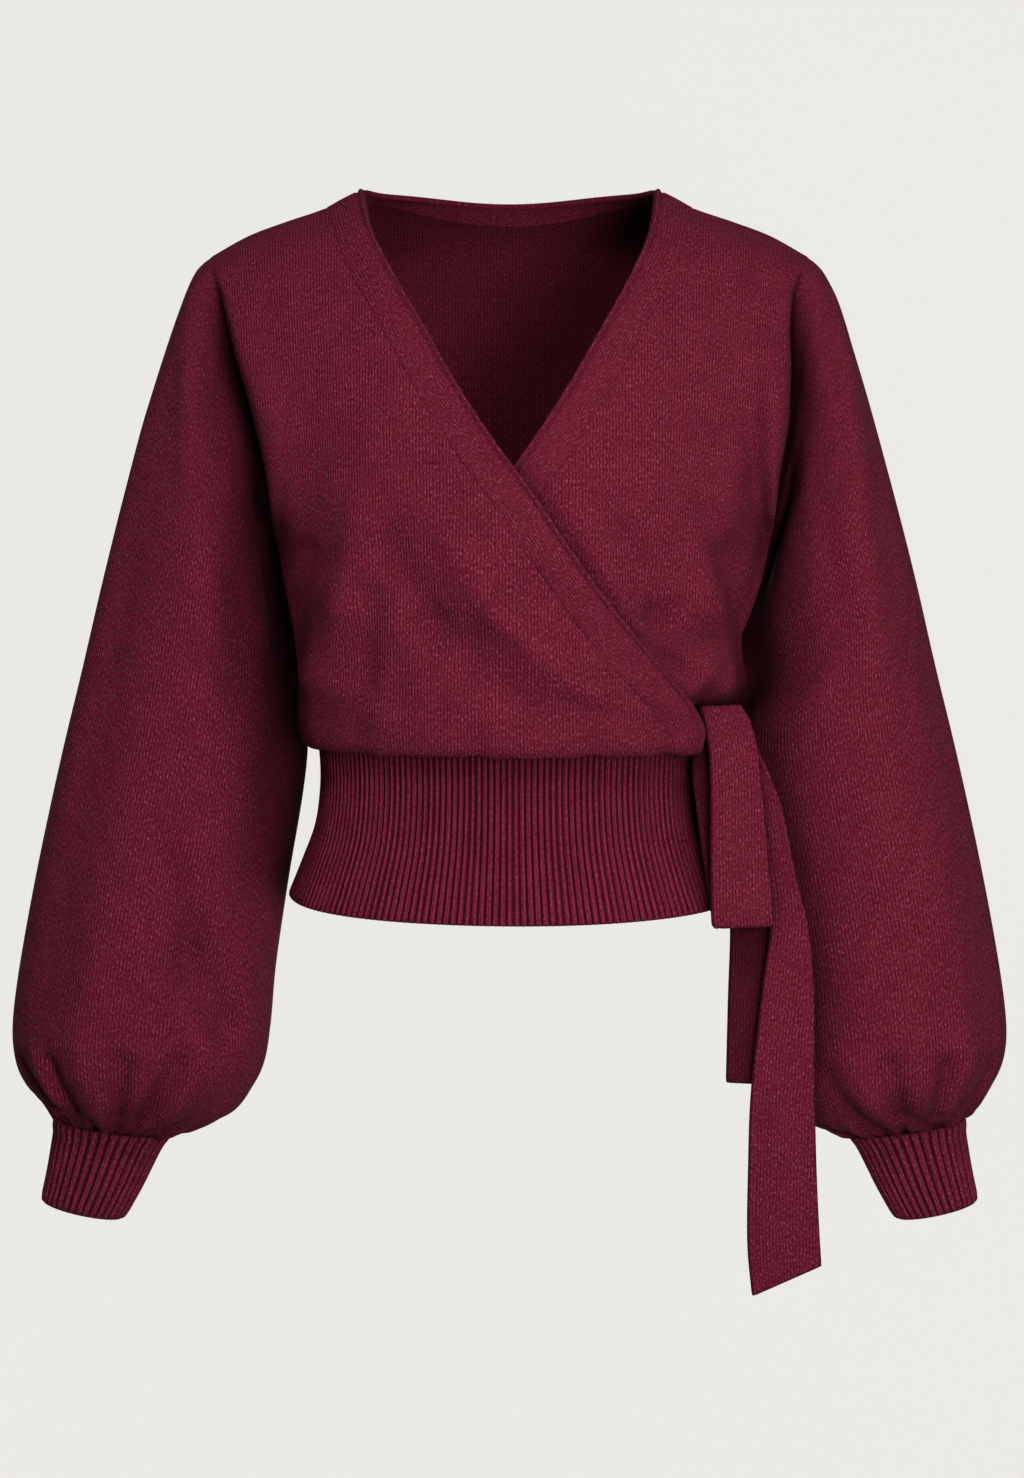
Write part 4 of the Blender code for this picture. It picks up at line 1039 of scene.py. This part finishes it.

# %% [markdown]
# ## The knit as a material
# The yarn is a brushed, heathered wool blend in a deep wine red. Up close each stitch is a small V, in
# columns down the cloth. A pale down of fibre ends catches the light where the cloth turns away. The rib
# is the same yarn, drawn tighter; its valleys get painted shade, and its colour is painted lighter to make
# up for that shade. The inner faces show the duller reverse side, painted darker still as shade. Painted
# shade also darkens the gaps between stitches, and deep hollows are painted nearly black where little open
# sky is seen nearby.

# %% Materials
WALE = 0.0021
COURSE = 0.0016
STITCH_SLOPE = 1.1
STITCH_LEG = 0.16
FLECKS_A_METRE = (1150, 460, 1)
CLOUDS_A_METRE = 55.0
# The next two colours are painted shade: one for the rib valleys and one for deep hollows.
PAINTED_RIB_SHADE = "#2A050D"
PAINTED_HOLLOW_SHADE = "#170206"
PAINTED_SHADE_REACH = 0.06
SHEEN = "#D98A98"


def linear(hex_colour):
    """An sRGB hex colour as linear red, green, blue and full cover."""
    parts = [int(hex_colour[k:k + 2], 16) / 255 for k in (1, 3, 5)]
    return (*[p / 12.92 if p <= 0.04045 else ((p + 0.055) / 1.055) ** 2.4 for p in parts], 1.0)


def add(tree, kind, **inputs):
    """Add a node. Each keyword is a property, or a socket as in_0 or in_Name, set or linked."""
    node = tree.nodes.new(kind)
    for key, value in inputs.items():
        if not key.startswith("in_"):
            setattr(node, key, value)
            continue
        name = key[3:].replace("_", " ")
        socket = node.inputs[int(name) if name.isdigit() else name]
        if isinstance(value, bpy.types.NodeSocket):
            tree.links.new(value, socket)
        else:
            socket.default_value = value
    return node


def knit(name, plain, pale, dark, stitch_depth, rib_pitch=None):
    """Heathered knit. The stitch: within each column the yarn's two legs slope, so the height is a
    cosine of the course number plus the distance from the column's middle, added to the column's own
    roundness. The mixes say how much of another colour shows as a value goes from low to high: pale
    and dark flecks, clouds, and painted shade in stitch gaps, rib valleys and hollows."""
    material = bpy.data.materials.new(name)
    material.use_nodes = True
    tree = material.node_tree
    tree.nodes.clear()

    def sums(operation, a, b=0.0, c=0.0):
        """One step of arithmetic on sockets or numbers."""
        return add(tree, "ShaderNodeMath", operation=operation, in_0=a, in_1=b, in_2=c).outputs[0]

    place = add(tree, "ShaderNodeUVMap", uv_map="cloth").outputs[0]
    split = add(tree, "ShaderNodeSeparateXYZ", in_0=place)
    across, down = split.outputs[:2]
    column = sums("DIVIDE", across, WALE)
    from_middle = sums("ABSOLUTE", sums("SUBTRACT", sums("FRACT", column), 0.5))
    course_number = sums("DIVIDE", down, COURSE)
    slope = sums("MULTIPLY_ADD", from_middle, STITCH_SLOPE, course_number)
    leg = sums("COSINE", sums("MULTIPLY", slope, 2 * math.pi))
    round_column = sums("COSINE", sums("MULTIPLY", from_middle, math.pi))
    low_leg = sums("MULTIPLY", leg, STITCH_LEG)
    height = sums("MULTIPLY_ADD", low_leg, round_column, round_column)
    stretched = add(tree, "ShaderNodeMapping", in_Vector=place, in_Scale=FLECKS_A_METRE).outputs[0]
    flecks, clouds = [
        add(tree, "ShaderNodeTexNoise", in_Vector=where, in_Scale=scale, in_Detail=detail).outputs[0]
        for where, scale, detail in ((stretched, 1.0, 2.0), (place, CLOUDS_A_METRE, 3.0))]
    # The flecks and clouds are the yarn's own colour; the last mix paints shade into the gaps between
    # stitches.
    mixes = [(flecks, 0.52, 0.80, 0.0, 0.9, pale), (flecks, 0.47, 0.25, 0.0, 0.9, dark),
             (clouds, 0.35, 0.70, 0.0, 0.22, dark), (height, 0.10, 0.75, 0.62, 0.0, dark)]
    # Painted shade: the rib valleys are painted dark, as shade would fall in them.
    if rib_pitch:
        rib = sums("DIVIDE", across, rib_pitch)
        crest = sums("ABSOLUTE", sums("COSINE", sums("MULTIPLY", rib, math.pi)))
        mixes.append((crest, 0.08, 0.60, 0.90, 0.0, PAINTED_RIB_SHADE))
    # Painted shade: the colour goes nearly black where the occlusion value shows little open sky nearby.
    hollow = add(tree, "ShaderNodeAmbientOcclusion", samples=6, in_Distance=PAINTED_SHADE_REACH)
    open_sky = hollow.outputs[1]
    mixes += [(open_sky, 0.12, 0.80, 0.92, 0.0, PAINTED_HOLLOW_SHADE),
              (open_sky, 0.70, 0.97, 0.35, 0.0, PAINTED_HOLLOW_SHADE)]
    colour = add(tree, "ShaderNodeRGB").outputs[0]
    colour.default_value = linear(plain)
    for value, low, high, at_low, at_high, other in mixes:
        share = add(tree, "ShaderNodeMapRange", in_0=value, in_1=low, in_2=high, in_3=at_low, in_4=at_high)
        colour = add(tree, "ShaderNodeMix", data_type="RGBA", in_0=share.outputs[0], in_6=colour,
                     in_7=linear(other)).outputs[2]
    bump = add(tree, "ShaderNodeBump", in_Strength=1.0, in_Distance=stitch_depth,
               in_Height=height).outputs[0]
    shader = add(tree, "ShaderNodeBsdfPrincipled", in_Base_Color=colour, in_Roughness=0.95, in_Normal=bump,
                 in_Specular_IOR_Level=0.04, in_Sheen_Weight=0.02, in_Sheen_Roughness=0.5,
                 in_Sheen_Tint=linear(SHEEN))
    add(tree, "ShaderNodeOutputMaterial", in_Surface=shader.outputs[0])
    return material


wool_jersey = knit("heathered_wool_jersey", "#781D33", "#B46078", "#490B1B", 0.00035)
# This copy is darker partly because the reverse side is duller and partly as painted shade on the inner
# faces.
wool_jersey_reverse_and_shade = knit("heathered_wool_jersey_reverse", "#571525", "#7C3848", "#360813", 0.00035)
# The rib colours are painted lighter than the jersey's to make up for their painted valley shade.
wool_waist_rib = knit("heathered_wool_waist_rib", "#8B2541", "#A35064", "#480A19", 0.00022, RIB_PITCH)
wool_cuff_rib = knit("heathered_wool_cuff_rib", "#8B2641", "#B4627A", "#4E0C1D", 0.00022, CUFF_RIB_PITCH)
print("materials:", [material.name for material in bpy.data.materials if "wool" in material.name])

# %% [markdown]
# ## Which piece stands for which part
# Each surface takes the place of its own part of the model. A row holds the piece, its part, how it is held
# and what it hangs from. The short tail shows its reverse side, in the darker copy that is also painted
# shade.

# %% Join the pieces to the model
SHEETS = """
front_outer_cloth    front_outer     hung     neck_band_cloth waistband_outer_rib
front_inner_cloth    front_inner     hung     neck_band_cloth waistband_inner_rib
back_cloth           back_panel      hung     neck_band_cloth waistband_back_rib
neck_band_cloth      neck_band       folded   front_outer_cloth front_inner_cloth back_cloth
waistband_outer_rib  waistband_outer hung     front_outer_cloth
waistband_inner_rib  waistband_inner hung     front_inner_cloth
waistband_back_rib   waistband_back  hung     back_cloth
sleeve_left_cloth    sleeve_left     gathered front_inner_cloth back_cloth
sleeve_right_cloth   sleeve_right    gathered front_outer_cloth back_cloth
cuff_left_rib        cuff_left       hung     sleeve_left_cloth
cuff_right_rib       cuff_right      hung     sleeve_right_cloth
tie_loop_cloth       tie_loop        folded   tie_knot_cloth
tie_tail_long_cloth  tie_tail_long   hung     tie_knot_cloth
tie_tail_short_cloth tie_tail_short  hung     tie_knot_cloth"""
KNOT = "tie_knot_cloth"


def join(name, node, *looks):
    """Give a piece the looks of its outer and inner faces, and let it stand for its node in the model."""
    for look in looks:
        pieces[name].data.materials.append(look)
    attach(pieces[name], "root")
    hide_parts(node)


OUTER_LOOKS = {"cuff_left_rib": wool_cuff_rib, "cuff_right_rib": wool_cuff_rib,
               "tie_tail_short_cloth": wool_jersey_reverse_and_shade}
INNER_LOOKS = {"neck_band_cloth": wool_jersey}

for line in SHEETS.split("\n")[1:]:
    name, node, held, *holders = line.split()
    usual = wool_waist_rib if name.endswith("_rib") else wool_jersey
    join(name, node, OUTER_LOOKS.get(name, usual), INNER_LOOKS.get(name, wool_jersey_reverse_and_shade))
join(KNOT, "tie_knot", wool_jersey)
print("pieces:", len(pieces))

# %% [markdown]
# ## The studio
# Pale paper lies under the top and curves up all round it, so every side has the same plain background.
# The paper has lights of its own, which don't reach the cloth. One soft light stands in front and above, a
# second lower and to the side, and a third behind. They leave the hollows dark, and painted shade in the
# knit's colour darkens them further, so the folds show.

# %% Backdrop and lights
PAPER = "#8A8886"
PAPER_LIGHT = "#ECEAE5"
PAPER_GLOW = 0.96
PAPER_RADIUS = 4.4
PAPER_BEND = 0.8
PAPER_FLOOR = -2.3
PAPER_TOP = 3.5
AIR_LIGHT = 0.06
LIGHTS = (
    ("top_soft_light", (-0.12, -1.3, 1.1), (0.0, 0.0, -0.35), 0.4, 12),
    ("front_soft_light", (0.34, -1.2, -0.3), (0.04, 0.0, -0.38), 0.4, 9.5),
    ("back_soft_light", (0.0, 1.6, -0.1), (0.0, 0.0, -0.35), 0.5, 16))


def make_paper(name, radius, z):
    """A round sheet of paper: a line in radius and height, turned about the cloth. Its glow stands for
    the lights on it."""
    turn = np.radians(np.arange(0.0, 360.0, 5.0))
    line = [radius[:, None] * np.sin(turn), radius[:, None] * np.cos(turn), z[:, None] + 0 * turn]
    ids = np.arange(len(radius) * len(turn)).reshape(-1, len(turn))
    faces = quads(np.hstack([ids, ids[:, :1]]))
    mesh = bpy.data.meshes.new(name)
    mesh.from_pydata(np.stack(line, axis=-1).reshape(-1, 3).tolist(), [], faces.tolist())
    paper = bpy.data.materials.new(name)
    paper.use_nodes = True
    paper.node_tree.nodes.clear()
    shader = add(paper.node_tree, "ShaderNodeBsdfPrincipled", in_Base_Color=linear(PAPER), in_Roughness=1.0,
                 in_Specular_IOR_Level=0.0, in_Emission_Color=linear(PAPER_LIGHT),
                 in_Emission_Strength=PAPER_GLOW)
    add(paper.node_tree, "ShaderNodeOutputMaterial", in_Surface=shader.outputs[0])
    mesh.materials.append(paper)
    mesh.shade_smooth()
    sheet = show(bpy.data.objects.new(name, mesh))
    sheet.visible_diffuse = False


def soft_light(name, place, aim, size, watts):
    """A square soft light at a place, aimed at a point."""
    data = bpy.data.lights.new(name, "AREA")
    data.size, data.energy = size, watts
    lamp = show(bpy.data.objects.new(name, data))
    lamp.location = place
    lamp.visible_camera = False
    x, y, z = np.subtract(aim, place)
    lamp.rotation_euler = (math.atan2(math.hypot(x, y), -z), 0, math.atan2(-x, y))


bend = np.linspace(0, math.pi / 2, 24)
wall_foot = PAPER_FLOOR + PAPER_BEND
make_paper("paper_floor", np.append(0.001, PAPER_RADIUS - PAPER_BEND * (1 - np.sin(bend))),
           np.append(PAPER_FLOOR, wall_foot - PAPER_BEND * np.cos(bend)))
make_paper("paper_wall", np.array((PAPER_RADIUS, PAPER_RADIUS)), np.array((wall_foot, PAPER_TOP)))
for light in LIGHTS:
    soft_light(*light)
world = bpy.data.worlds.new("studio_air")
world.use_nodes = True
background = world.node_tree.nodes["Background"]
background.inputs[0].default_value = linear("#FFFFFF")
background.inputs[1].default_value = AIR_LIGHT
bpy.context.scene.world = world
bpy.context.scene.view_settings.view_transform = "Standard"
print("lights:", len(LIGHTS))
